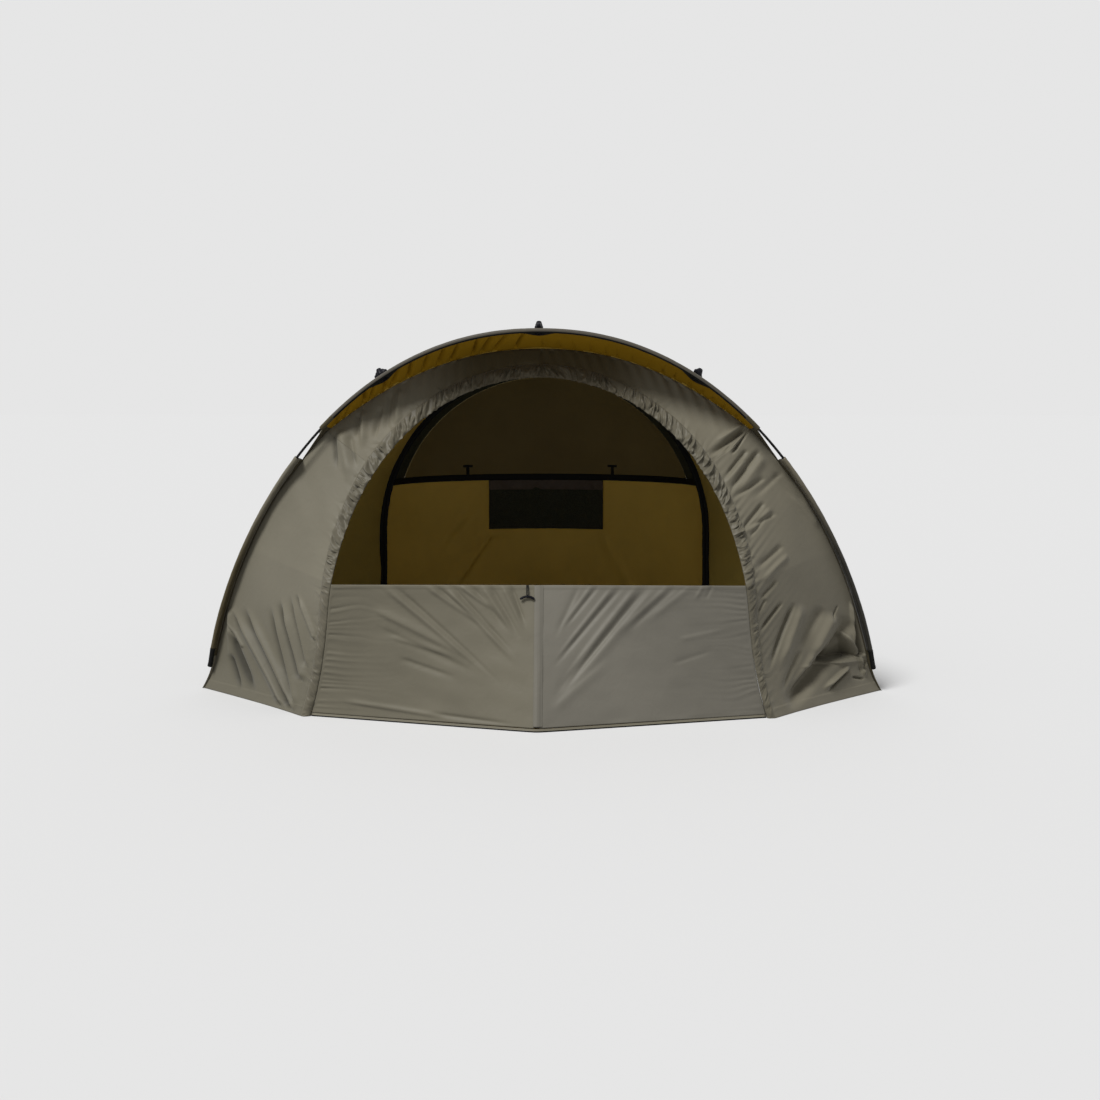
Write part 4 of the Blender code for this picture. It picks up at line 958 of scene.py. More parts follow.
def wall_tucks(x, z, share, away, room):
    """Small tucks from the roof's seam over the opening, and slanting ones at its right edge."""
    patchy = 0.35 + 0.65 * np.abs(rumple(x * 6, z * 4, 53))
    top = ease((from_foot(share) - NOTCH_TOP_SHARE) / 0.04)
    left = ripple((np.abs(x) - 0.05 * z) / 1.1, 46, 51) * np.exp(-room / 0.12)
    right = 1.8 * ripple((np.abs(x) + 0.35 * z) / 1.2, 54, 52) * np.exp(-room / 0.045)
    depth = 0.0060 * np.where(x < 0, left, right) * patchy * top
    slanting = ripple((x - z + 0.6) / 1.8, 104, 55) * ease((x - 0.6) / 0.05) * ease((z - 0.1) / 0.2)
    return depth + 0.0030 * slanting * np.exp(-away / 0.07) * (1 - top) * (0.3 + patchy)


def front_depth(grid, share, away, room):
    """How far the front wall's cloth stands out or in, across all three of its panels."""
    x, z = grid[..., 0], grid[..., 2]
    depth = wall_folds(x, z) + 0.0020 * rumple(x * 16 + z * 6, z * 7 - x * 3, 41) + hollow(x, z)
    depth += wall_tucks(x, z, share, away, room)
    depth *= ease(away / 0.018 + 0.1) * ease(room / 0.010) * ease(z / 0.03 + 0.2)
    hem = ease((0.036 - z) / 0.003) * ease(away / 0.01)
    depth += 0.0016 * hem
    return depth + gathered(share, away, 0.017, 0.018, 0.0032, 54) * ease(away / 0.006)


def make_front_wall():
    """The front wall as one creased surface, cut into its three panels."""
    side_rows, top_rows, columns = 400, 720, 170
    shares = np.concatenate([np.linspace(0, NOTCH_TOP_SHARE, side_rows),
                             np.linspace(NOTCH_TOP_SHARE, 1 - NOTCH_TOP_SHARE, top_rows)[1:],
                             np.linspace(1 - NOTCH_TOP_SHARE, 1, side_rows)[1:]])
    grid, share, away, room = wall_grid(shares, columns)
    creased = raised(grid, front_depth(grid, share, away, room))
    # how deep each point lies in a crease, for the left wall's painted crease shade
    folds = wall_folds(grid[..., 0], grid[..., 2]) * ease(grid[..., 2] / 0.03)
    crease_shade = np.clip(-folds / DEEP_CREASE, 0, 1)
    first, second = side_rows, side_rows + top_rows - 1
    panels = (("left", slice(0, first), WALL_LEFT_PAINTED_SHADE), ("top", slice(first - 1, second), WALL_TOP_PAINTED_SHADOW),
              ("right", slice(second - 1, None), KHAKI))
    for name, rows, khaki in panels:
        cloth(f"wall_{name}", f"front_wall_{name}", creased[rows], [khaki, LINING],
              crease_shade=crease_shade[rows])


def binding_rings(count, sides):
    """Rings of the elasticated band: a soft tube drawn up into slanting tucks along its length."""
    share = np.linspace(0, 1, count)
    inner = front_point(share, 0.0)
    outer = front_point(share, out_by(share, band_width(share)))
    outer[:, 1] -= foot_bulge(share, 0.0)
    across = outer - inner
    normal = unit(np.cross(OPENING.tangent(share), across))
    normal = normal * -np.sign(normal[:, 1:2])
    normal = unit(normal * np.array((1, 1, 0)))
    length = share * OPENING.length
    fullness = 0.22 + 0.78 * ease((OPENING.at(share)[:, 2] - 0.42) / 0.25)
    lean = 0.030 * (0.7 + 0.9 * rumple(length / 0.06, 0.0, 65))
    least = 0.0012  # half the band's thickness at its edges
    rings = []
    for part in np.linspace(0, 1, sides):
        slant = length + np.sign(share - 0.5) * lean * part
        long = rumple(slant / 0.0105, part * 1.2, 61)
        short = rumple(slant / 0.0058, part * 2.6 + 5, 62)
        swell = rumple(length / 0.035, part * 1.7 + 9, 63)
        crown = math.sin(math.pi * part) ** 0.6
        pleat = (0.0150 * long + 0.0080 * short + 0.0030 * swell) * fullness
        lift = least + crown * np.maximum(0.0070 + pleat, 0.0004)
        slide = 0.006 * long * fullness * (1 - abs(2 * part - 1))
        wave = 0.0042 * rumple(length / 0.012, 0.0, 64) * (1 - part) * fullness
        point = inner + across * part + unit(across) * (slide + wave)[:, None]
        rings.append(point + normal * lift[:, None])
    for part in (1.0, 0.5, 0.0):
        rings.append(inner + across * part - normal * least)
    return np.stack(rings, axis=1)


def make_binding():
    made = tube("opening_binding", binding_rings(2800, 20), [GATHERED_PAINTED_SHADE])
    declare(made, "tent", "door_binding")


# Doors

DOOR_CREASES = {
    "left": in_metres((
        (-560, 480, -150, 160, 16, 7, 0.8),
        (-525, 480, -130, 150, 14, -6, 0.8),
        (-405, 480, -175, 330, 13, 6),
        (-375, 480, -150, 310, 11, -6),
        (-340, 480, -70, 217, 13, 6),
        (-312, 480, -75, 240, 10, -5),
        (-285, 480, -150, 390, 9, 5),
        (-240, 480, -100, 320, 10, -4),
        (-205, 480, -85, 320, 10, 4),
        (-170, 480, -60, 300, 10, -4),
        (-130, 480, -50, 330, 9, 4),
        (-95, 480, -40, 340, 8, -4),
        (-597, 395, -242, 231, 14, 4),
        (-580, 330, -200, 175, 13, -3),
        (-539, 299, -279, 230, 11, 3),
        (-496, 223, -281, 161, 10, -3),
        (-700, 62, -304, 27, 8, 3),
        (-375, 40, -60, 18, 8, -3),
    )),
    "right": in_metres((
        (395, 480, 75, 110, 15, -8, 0.8),
        (360, 480, 85, 155, 15, 7, 0.8),
        (430, 480, 100, 120, 16, 5, 0.9),
        (305, 480, 50, 200, 12, -7, 0.8),
        (275, 480, 55, 220, 11, 5, 0.8),
        (220, 480, 90, 330, 9, -5),
        (195, 480, 80, 330, 9, 4),
        (150, 480, 60, 300, 9, -3),
        (470, 480, 290, 320, 12, 4),
        (500, 480, 320, 320, 12, -4),
        (550, 480, 381, 350, 11, 3),
        (625, 480, 600, 430, 7, -3),
        (590, 480, 560, 430, 7, 3),
        (498, 290, 678, 325, 9, 2),
        (479, 205, 628, 249, 9, -2),
        (52, 68, 260, 230, 16, 4),
        (60, 110, 200, 300, 14, -3),
    )),
}


def door_depth(side, sign, x, z, out):
    """A door's creases, the gathers at its outer edge, its slack, and the hem along its top."""
    share, gathers = (1.0, 0.0034) if sign < 0 else (0.62, 0.0016)
    edge = (1 - out) * opening_half_width(z)
    depth = creases(x, z, DOOR_CREASES[side]) * share
    gather = ripple(z / DOOR_HEIGHT + 0.04 * rumple(z * 20, edge * 9, 71 + sign), 44, 73 + sign)
    gather = np.where(gather < 0, -np.abs(gather) ** 3, np.abs(gather) ** 1.5) * gathers
    depth = depth + gather * np.exp(-edge / 0.09) * ease(edge / 0.012)
    depth = depth + 0.0016 * rumple(x * 14, z * 22 + x * 5, 75 + sign)
    depth *= ease(out / 0.04) * ease((1 - out) / 0.01) * ease((z - DOOR_BOTTOM) / 0.02)
    hem = ease((z - DOOR_HEIGHT + 0.013) / 0.002)
    return depth + 0.0012 * hem


def make_doors():
    part, z = spans((0, 1, 200), (DOOR_BOTTOM, DOOR_HEIGHT, 130))
    start = (ZIP_TAPE_WIDTH + GAP) / opening_half_width(z)
    end = 1 + 0.0023 / opening_half_width(z)
    out = start + (end - start) * part
    for side, sign in SIDES:
        grid = door_point(sign, out, z)
        khaki = DOOR_LEFT_PAINTED_SHADE if sign < 0 else DOOR_RIGHT_PAINTED_LIGHT
        cloth(f"door_{side}", f"door_panel_{side}",
              raised(grid, door_depth(side, sign, grid[..., 0], z, out)), [khaki, KHAKI_SHADE],
              body=f"door_{side}")


# Rear

REAR_CREASES = in_metres((
    (-270, 680, -460, 440, 18, -7),
    (-300, 660, -500, 360, 20, 7),
    (-250, 480, -480, 160, 20, -12),
    (-220, 480, -420, 180, 26, 8),
    (260, 480, 440, 160, 24, -6),
))


def in_window(point):
    return abs(point[0]) < WINDOW_HALF_WIDTH and point[2] > WINDOW_BOTTOM


def make_rear_wall():
    """The lower rear wall. Its grid has a line along each edge of the window."""
    rows = np.concatenate([np.linspace(HEM_LIFT, WINDOW_BOTTOM, 75),
                           np.linspace(WINDOW_BOTTOM, SEAM_HEIGHT, 38)[1:]])
    part, z = np.meshgrid(np.linspace(-1, 1, 241), rows)
    corner = np.arcsin(WINDOW_HALF_WIDTH / width_at(z))
    angle = np.sign(part) * (corner + (REAR_EDGE - corner) * (np.abs(part) - 1 / 3) * 1.5)
    x = np.where(np.abs(part) < 1 / 3, WINDOW_HALF_WIDTH * 3 * part, width_at(z) * np.sin(angle))
    angle = np.arcsin(np.clip(x / width_at(z), -1, 1))
    grid = rear_point(x, z)
    depth = 0.004 * rumple(x * 5 - z * 6, z * 3 + x * 1.5, 81)
    depth += 0.0015 * rumple(x * 18, z * 6, 82)
    depth += creases(x, z, REAR_CREASES)
    depth *= ease((SEAM_HEIGHT - z) / 0.05) * ease((REAR_EDGE - np.abs(angle)) / 0.1)
    clear = np.maximum(np.abs(x) - WINDOW_HALF_WIDTH, WINDOW_BOTTOM - z) - FLAP_MARGIN
    depth = np.where(depth > 0, depth * ease(clear / 0.03), depth)
    cloth("wall_rear", "rear_wall", raised(grid, depth), [KHAKI, GOLD_PAINTED_LIGHT],
          skip=in_window, dark_rim=True)


def dome_point(radius, turn):
    """A point of the rear dome, by its distance from the dome's axis and its angle round that."""
    return rear_point(radius * np.sin(turn), REAR_CENTRE_HEIGHT + radius * np.cos(turn))


def make_dome():
    """The mesh band along the rear hoop and the dark panel within it."""
    seam_rise = SEAM_HEIGHT - REAR_CENTRE_HEIGHT
    band = math.asin(MESH_BAND_INNER_RADIUS / REAR_RADIUS)
    lean, turn = spans((band, REAR_EDGE, 24), (-1, 1, 260))
    radius = REAR_RADIUS * np.sin(lean)
    grid = dome_point(radius, turn * np.arccos(seam_rise / radius))
    cloth("dome_net", "rear_mesh_band", grid, [NET])

    inner = MESH_BAND_INNER_RADIUS - SEAM_GAP
    end = 0.995 * math.acos(seam_rise / inner)
    turn, rise = spans((-end, end, 200), (0, 1, 90))
    top = REAR_CENTRE_HEIGHT + inner * np.cos(turn)
    x, z = inner * np.sin(turn), SEAM_HEIGHT + (top - SEAM_HEIGHT) * rise
    grid = rear_point(x, z)
    depth = 0.003 * rumple(x * 6, z * 5, 83) + 0.0012 * rumple(x * 20, z * 9, 84)
    depth *= ease(rise / 0.1) * ease((1 - rise) / 0.1)
    cloth("dome_panel", "rear_dome_panel", raised(grid, depth), [KHAKI, DARK],
          dark_rim=True)


def make_window():
    """The window's mesh and the storm flap that hangs over it outside."""
    x, z = spans((-WINDOW_HALF_WIDTH, WINDOW_HALF_WIDTH, 80), (WINDOW_BOTTOM, SEAM_HEIGHT, 40))
    grid = rear_point(x, z)
    depth = 0.005 * rumple(x * 14 + z * 8, z * 16 - x * 6, 85) + 0.003 * rumple(x * 30, z * 26, 96)
    depth *= ease((WINDOW_HALF_WIDTH - np.abs(x)) / 0.02) * ease((z - WINDOW_BOTTOM) / 0.02)
    depth = np.minimum(depth, 0.0015)
    cloth("window_net", "window_mesh", raised(grid, depth), [NET])

    reach = WINDOW_HALF_WIDTH + FLAP_MARGIN
    x, z = spans((-reach, reach, 90), (WINDOW_BOTTOM - FLAP_MARGIN, SEAM_HEIGHT - GAP, 50))
    grid = raised(rear_point(x, z), np.full(x.shape, FLAP_AWAY))
    depth = 0.0015 + 0.0015 * rumple(x * 10, z * 4, 86) * ease((SEAM_HEIGHT - z) / 0.05)
    cloth("flap", "window_flap", raised(grid, depth), [KHAKI, KHAKI_SHADE],
          body="window_flap")


# Sewn on inside the rear dome


def laid_inside(x, z):
    """Points of a tape that lies on the inner face of the rear wall or dome."""
    grid = rear_point(x, z)
    return grid - normals_of(grid) * TAPE_AWAY


def make_tapes():
    """The tape round the seam, and the gathered strip over the window."""
    edge = REAR_EDGE * 0.93
    angle, z = spans((-edge, edge, 240), (TAPE_LOW, TAPE_HIGH, 9))
    x = width_at(TAPE_HIGH) * np.sin(angle)
    grid = laid_inside(x, z)
    depth = -0.0006 * rumple(x * 30, z * 40, 87)
    cloth("seam_tape", "rear_seam_tape", raised(grid, depth), [BLACK])

    top, half = TAPE_LOW - GAP, WINDOW_HALF_WIDTH - SEAM_GAP
    x, z = spans((-half, half, 160), (top - WINDOW_HEADER_HEIGHT, top, 14))
    grid = laid_inside(x, z)
    gather = rumple(x * 40 + z * 30, z * 30, 88) + 0.6 * rumple(x * 90 - z * 60, z * 60, 89)
    depth = -0.0012 - 0.0026 * gather
    cloth("window_band", "window_header", raised(grid, depth), [BROWN])


def make_straps():
    """Two short straps above the seam tape, each with a bar across its upper end."""
    foot = TAPE_HIGH + GAP
    bar = foot + STRAP_HEIGHT - STRAP_BAR_HEIGHT
    across = np.linspace(-STRAP_BAR_WIDTH / 2, STRAP_BAR_WIDTH / 2, 23)
    for side, middle in (("left", STRAP_LEFT_X), ("right", STRAP_RIGHT_X)):
        x, z = np.meshgrid(middle + across, np.linspace(foot, foot + STRAP_HEIGHT, 24))
        grid = laid_inside(x, z)

        def beside_stem(point, middle=middle):
            return abs(point[0] - middle) > STRAP_WIDTH / 2 and point[2] < bar

        depth = -0.0010 * np.sin(math.pi * (z - foot) / STRAP_HEIGHT)
        cloth(f"strap_{side}", f"hanging_strap_{side}", raised(grid, depth), [BLACK],
              skip=beside_stem)


# Hoops

# Each tail is the flat double edge of a sleeve that is sewn to the canopy
FRONT_TAIL = [(-0.0026, 0.0095), (-0.0034, 0.020), (-0.0036, SLEEVE_TAIL), (-0.0050, SLEEVE_TAIL),
              (-0.0056, 0.020), (-0.0068, 0.010)]
REAR_TAIL = [(-0.012, -0.0030), (-0.020, -0.0026), (-0.027, -0.0022), (-0.027, -0.0040),
             (-0.020, -0.0054), (-0.012, -0.0072)]
HOOPS = (
    ("front", FRONT, HOOP_FOOT_HEIGHT,
     ("left_lower", "left_upper", "crown", "right_upper", "right_lower")),
    ("rear", REAR, REAR_FOOT_HEIGHT, ("left", "crown", "right")),
)


def hoop_frame(path, share):
    """Centre, outward direction in the hoop's plane, and the plane's normal towards the rear."""
    tangent = path.tangent(share)
    middle = path.tangent(np.array([0.4, 0.6]))
    plane = unit(np.cross(middle[0], middle[1]))
    plane = plane * (1 if plane[1] > 0 else -1)
    outward = unit(np.cross(tangent, np.broadcast_to(plane, tangent.shape)))
    if outward[len(outward) // 2][2] < 0:
        outward = -outward
    return path.at(share), outward, np.broadcast_to(plane, tangent.shape)


def canopy_frames(share):
    """Centre of the front pole, out of the canopy, and back along it."""
    centre = FRONT.at(share)
    back = unit(REAR.at(share) - centre)
    out = -inward_at(share)
    out = unit(out - back * (out * back).sum(axis=-1, keepdims=True))
    return centre, out, back


def stations(path, start, end, step=0.006):
    return np.linspace(start, end, max(8, int((end - start) * path.length / step)))


def round_profile(radius, sides=20, start=0.0, end=2 * math.pi):
    angle = np.linspace(start, end, sides, endpoint=False)
    return [(radius * math.cos(a), radius * math.sin(a)) for a in angle]


def crinkles(share, index, coarse, small, turn, seed):
    """Long and short unevenness along one line of a sleeve's skin."""
    length = share * FRONT.length
    wave = rumple(length / coarse + 0.5 * index, index * turn, seed)
    fine = rumple(length / small - 0.4 * index, index * 0.8, seed + 1)
    return wave, fine


def swept(name, node, share, frames, profile, materials, crinkle=0.0, bore=None):
    """A profile of (outward, backward) points swept through frames, with its cloth crinkled."""
    centre, outward, back = frames
    rings = []
    for index, (out, behind) in enumerate(profile):
        wave, fine = crinkles(share, index, 0.022, 0.009, 0.55, 91)
        swell = 1 + crinkle * (wave + 0.6 * fine)
        rings.append(centre + outward * (out * swell)[:, None] + back * behind)
    rings = np.stack(rings, axis=1)
    if bore:
        made = hollow_tube(name, rings, bore, frames, materials)
    else:
        made = tube(name, rings, materials)
    declare(made, "tent", node)
    return made


def hollow_tube(name, rings, bore, frames, materials):
    """A skin over rings, with a round bore through it and flat ends."""
    centre, outward, back = (vectors[:, None] for vectors in frames)
    rows, columns = rings.shape[:2]
    angle = (np.arange(columns) * 2 * math.pi / columns)[None, :, None]
    bores = centre + bore * (np.cos(angle) * outward + np.sin(angle) * back)
    count = rows * columns
    faces = grid_faces(rows, columns, wrap=True)
    faces += [[v + count for v in face] for face in grid_faces(rows, columns, True, wrap=True)]
    for row in (0, rows - 1):
        for j in range(columns):
            a, b = row * columns + j, row * columns + (j + 1) % columns
            faces.append([a, b, b + count, a + count])
    points = np.concatenate([rings.reshape(-1, 3), bores.reshape(-1, 3)])
    made = build(name, points, faces, materials)
    face_outwards(made)
    return made


def stripe(thing, rows, columns, first, last):
    """Gives a stripe of a swept piece's skin its second material."""
    for face in thing.data.polygons[: (rows - 1) * columns]:
        if first <= face.index % columns < last:
            face.material_index = 1


def make_crown_sleeve():
    """The sleeve between the notches, black at its back and shaded at both of its ends."""
    sides = 24
    share = stations(FRONT, NOTCH_TOP_SHARE, 1 - NOTCH_TOP_SHARE)
    rows = len(share) - 1
    made = swept("sleeve_crown", "front_sleeve_crown", share, canopy_frames(share),
                 round_profile(CROWN_SLEEVE_SKIN, sides), [RIM_PAINTED_SHADE, BLACK, KHAKI_SHADE],
                 crinkle=0.035, bore=SLEEVE_BORE)
    stripe(made, len(share), sides, first=10, last=16)
    ends = int(SHADED_END / FRONT.length / (share[1] - share[0]))
    for face in made.data.polygons[: rows * sides]:
        row = face.index // sides
        if min(row, rows - 1 - row) < ends:
            face.material_index = 2


def make_side_sleeve(side, start, end):
    """A lower sleeve, whose tail reaches back to the front wall."""
    share = stations(FRONT, start, end)
    room = (wall_set(share) / back_by(share, 1.0) - 0.007) / SLEEVE_TAIL
    profile = round_profile(SLEEVE_SKIN, 18, math.radians(150), math.radians(445)) + FRONT_TAIL
    centre, out, back = frames = canopy_frames(share)
    rings = []
    stitch = FRONT_TAIL[0][1]
    for index, (rise, behind) in enumerate(profile):
        wave, fine = crinkles(share, index, 0.024, 0.010, 0.5, 93)
        reach = behind * (room if behind > stitch else 1.0)
        lift = rise - 0.0010 * (wave + 0.7 * fine) * (1 if rise < 0 else 0.4)
        lift = np.minimum(lift, -0.0018) if behind >= stitch else lift
        rings.append(centre + out * np.broadcast_to(lift, share.shape)[:, None]
                     + back * np.broadcast_to(reach, share.shape)[:, None])
    made = hollow_tube(f"sleeve_{side}", np.stack(rings, axis=1), SLEEVE_BORE, frames,
                       [SLEEVES_PAINTED_SHADE[side], BLACK])
    stripe(made, len(share), len(profile), first=11, last=13)
    declare(made, "tent", f"front_sleeve_{side}")


def make_sleeves():
    make_crown_sleeve()
    above = FRONT.share_at_height(HOOP_FOOT_HEIGHT) + (FOOT_DEPTH + GAP) / FRONT.length
    make_side_sleeve("left", above, SEAM_SHARE)
    make_side_sleeve("right", 1 - SEAM_SHARE, 1 - above)
    above = REAR.share_at_height(REAR_FOOT_HEIGHT) + (FOOT_DEPTH + GAP) / REAR.length
    share = stations(REAR, above, 1 - above)
    profile = round_profile(SLEEVE_SKIN, 18, math.radians(-145), math.radians(170)) + REAR_TAIL
    swept("sleeve_rear", "rear_sleeve", share, hoop_frame(REAR, share), profile, [BLACK],
          crinkle=0.03, bore=SLEEVE_BORE)


def make_poles():
    """The sections of both hoops, the ferrules over their joins, and the foot pockets."""
    for prefix, path, height, names in HOOPS:
        foot = path.share_at_height(height)
        ends = np.linspace(foot, 1 - foot, len(names) + 1)
        slack = GAP / path.length
        for name, start, end in zip(names, ends, ends[1:]):
            share = stations(path, start + slack, end - slack, 0.008)
            swept(f"rod_{prefix}_{name}", f"{prefix}_pole_{name}", share, hoop_frame(path, share),
                  round_profile(POLE_RADIUS), [ROD])
        half = FERRULE_LENGTH / 2 / path.length
        for number, join in enumerate(ends[1:-1], start=1):
            share = stations(path, join - half, join + half, 0.004)
            swept(f"joiner_{prefix}_{number}", f"{prefix}_ferrule_{number}", share,
                  hoop_frame(path, share), round_profile(FERRULE_RADIUS), [STEEL],
                  bore=ROD_BORE)
        make_foot(prefix, "left", path, foot, 1)
        make_foot(prefix, "right", path, 1 - foot, -1)


def make_foot(prefix, side, path, end, into):
    """A webbing pocket, folded round the pole's end and bound at its mouth."""
    along = np.concatenate([[-0.0083, -0.0081, -0.0074], np.linspace(-0.006, FOOT_DEPTH, 30)])
    radius = np.concatenate([[0.004, 0.0070, 0.0084], np.full(30, 0.0089)])
    radius[-5:] += 0.0005
    radius[3:8] += 0.0003
    angle = full_turn(24)[None, :, None]
    flat = 1 + 0.05 * np.cos(2 * angle)

    def rings(places, reach):
        frames = hoop_frame(path, end + into * places / path.length)
        centre, out, back = (vectors[:, None] for vectors in frames)
        return centre + reach * (np.cos(angle) * out + np.sin(angle) * back)

    skin = rings(along, radius[:, None, None] * flat)
    hole = rings(np.linspace(-GAP, FOOT_DEPTH, 12)[::-1], ROD_BORE)
    made = tube(f"pocket_{prefix}_{side}", np.concatenate([skin, hole]), [BLACK])
    declare(made, "tent", f"{prefix}_foot_{side}")


# Sill and zip


def make_sill():
    """The webbing sill under the doors: khaki cloth over a black edge that meets the ground."""
    corner, front = float(opening_y(0.0)), FEET_Y - FRONT_REACH
    part = np.linspace(-1, 1, 161)
    level = np.zeros(len(part))
    blunt = np.sqrt(part**2 + 0.0004)
    line = np.stack([SILL_HALF_WIDTH * part, front + (corner - front) * blunt, level], axis=1)
    side = unit(np.stack([np.gradient(line[:, 1]), -np.gradient(line[:, 0]), level], axis=1))
    profile = [(-0.0018, 0.0005), (0.0020, 0.0005), (0.0023, 0.0018), (0.0021, 0.0042),
               (0.0013, 0.0046), (0.0012, 0.0100), (0.0006, 0.0114), (-0.0006, 0.0114),
               (-0.0012, 0.0100), (-0.0012, 0.0046), (-0.0018, 0.0042)]
    rings = [line + side * out + np.array((0, 0, up)) for out, up in profile]
    made = tube("door_sill", np.stack(rings, axis=1), [BLACK, KHAKI])
    stripe(made, len(part), len(profile), first=4, last=9)
    declare(made, "tent", "sill")


def make_zip():
    """The two ribbed tapes, and the flap of the right door that covers them."""
    part, z = spans((0, 1, 5), (DOOR_BOTTOM + HINGE_LIFT, DOOR_HEIGHT, 240))
    x = ZIP_GAP / 2 + (ZIP_TAPE_WIDTH - ZIP_GAP / 2) * part
    teeth = 0.0005 * np.sin(z / TOOTH_STEP * 2 * math.pi) * (part < 0.3)
    for side, sign in SIDES:
        grid = door_point(sign, x / opening_half_width(z), z)
        cloth(f"zip_{side}", f"zip_tape_{side}", raised(grid, teeth), [BLACK],
              body=f"door_{side}")

    x, z = spans((COVER_START, COVER_REACH, 34), (DOOR_BOTTOM + 0.004, DOOR_HEIGHT - 0.001, 130))
    grid = door_point(np.where(x < 0, -1.0, 1.0), np.abs(x) / opening_half_width(z), z)
    grid[..., 0] = x
    over = ease((COVER_REACH - x) / 0.0140) * ease((x + 0.0130) / 0.0085)
    depth = 0.0014 + 0.0027 * over + 0.0006 * rumple(x * 60, z * 9, 95) * over
    cloth("zip_cover", "zip_tape_right", raised(grid, depth), [DOOR_RIGHT_PAINTED_LIGHT, KHAKI_SHADE],
          body="door_right")


def door_frame(x, z):
    """A point of the left door's face, with its axes across, outwards and up the face."""
    width = float(opening_half_width(z)) - DOOR_SIDE_CLEARANCE
    here, above = (
        Vector(door_point(-1.0, np.array(-x / width), np.array(height)).tolist())
        for height in (z, z + 0.02)
    )
    up = (above - here).normalized()
    across = Vector((1, 0, 0))
    outward = up.cross(across).normalized()
    return here, across, outward if outward.y < 0 else -outward, up


def make_slider():
    """The slider under the cover: a flat body, waisted where the tapes part, with a bridge."""
    half = SLIDER_LENGTH / 2
    here, across, outward, up = door_frame(0.0, DOOR_HEIGHT - SLIDER_DROP - half)
    sections = ((-1.0, 0.0022, 0.0009), (-0.8, 0.0032, 0.0016), (-0.2, 0.0036, 0.0019),
                (0.3, 0.0039, 0.0019), (0.8, 0.0040, 0.0015), (1.0, 0.0030, 0.0009))
    centre = here + outward * 0.0024
    rings = [oval(centre + up * (half * part), across * wide, outward * (thick / 2), 16, 0.5)
             for part, wide, thick in sections]
    made = tube("zip_puller", np.array(rings), [GLOSS])
    declare(made, "zip_slider", "zip_slider")


def make_toggle():
    """A bowed toggle with a thicker waist, on a loop of tape at the left door's top edge."""
    height = DOOR_HEIGHT - TOGGLE_DROP
    here, across, outward, up = door_frame(-TOGGLE_SET, height)
    rings = []
    for part in np.linspace(-1, 1, 41):
        centre = here + across * (TOGGLE_LENGTH / 2 * part) + outward * TOGGLE_AWAY
        centre -= up * (TOGGLE_BOW * part * part)
        slope = (across * TOGGLE_LENGTH / 2 - up * 2 * TOGGLE_BOW * part).normalized()
        fullness = math.sqrt(max(0.0, 1 - abs(part) ** 7))
        radius = TOGGLE_RADIUS * (0.25 + 0.75 * fullness) * (0.78 + 0.22 * abs(part) ** 1.5)
        reach = min(radius * (1.35 if abs(part) < 0.12 else 1.0), TOGGLE_RADIUS)
        rings.append(oval(centre, outward * reach, slope.cross(outward).normalized() * reach, 20))
    made = tube("toggle", np.array(rings), [GLOSS])
    declare(made, "door_left", "door_toggle")
    make_loop(height + (TOGGLE_RADIUS + GAP) * up.z)


def make_loop(low):
    """The toggle's loop of tape, from a height just over the toggle up to the door's top edge."""
    rows, columns = 34, 13
    top = DOOR_HEIGHT - GAP
    grid = np.zeros((rows, columns, 3))
    for i, z in enumerate(np.linspace(low, top, rows)):
        part = (z - low) / (top - low)
        away = TOGGLE_AWAY * (1 - part) + 0.0032 * part + 0.0010 * math.sin(math.pi * part)
        for j, aside in enumerate(np.linspace(-0.5, 0.5, columns)):
            spot, _, outward, _ = door_frame(-TOGGLE_SET + aside * LOOP_WIDTH, z)
            grid[i, j] = spot + outward * away

    def between_legs(point):
        return abs(point[0] + TOGGLE_SET) < 0.0014 and low + 0.004 < point[2] < top - 0.005

    cloth("loop", "toggle_loop", grid, [BLACK], body="door_left",
          skip=between_legs)


# Storm-pole fittings


def storm_places():
    """Where the fittings stand: each screw's axis from the record, with +Z out of the canopy."""
    places = {}
    for joint in frame["record"]["behaviour"]["joints"]:
        if joint["name"].endswith("_screw"):
            side = joint["name"].split("_")[2]
            up = Vector(joint["axis"]).normalized()
            along = Vector(FRONT.tangent(np.array(STORM_SHARES[side])).tolist())
            x = (along - up * along.dot(up)).normalized()
            turn = Matrix((x, up.cross(x), up)).transposed().to_4x4()
            places[side] = Matrix.Translation(joint["pos_m"]) @ turn
    return places


def lathed(name, profile, place, sides=64, shape=None):
    """A turned moulding, from points of radius and height, which a shape may draw out."""
    angle = full_turn(sides)
    rings = []
    for radius, height in profile:
        reach, rise = shape(radius, height, angle) if shape else (radius, height)
        reach, rise = np.broadcast_to(reach, sides), np.broadcast_to(rise, sides)
        rings.append(np.stack([reach * np.cos(angle), reach * np.sin(angle), rise], axis=1))
    made = tube(name, np.stack(rings), [GLOSS])
    made.data.transform(place)
    made.data.set_sharp_from_angle(angle=math.radians(40))
    return made


def winged(radius, height, angle):
    """Draws the cap's widest part out into two wings, whose tips turn up."""
    fullness = max(0.0, (radius - CAP_NECK_RADIUS) / (CAP_RADIUS - CAP_NECK_RADIUS))
    wing = fullness * np.abs(np.cos(angle)) ** 10
    grip = 1 + 0.02 * np.cos(16 * angle) * (1 - np.abs(np.cos(angle)) ** 4) * min(1, fullness)
    return radius * grip + (WING_REACH - CAP_RADIUS) * wing, height + WING_RISE * wing


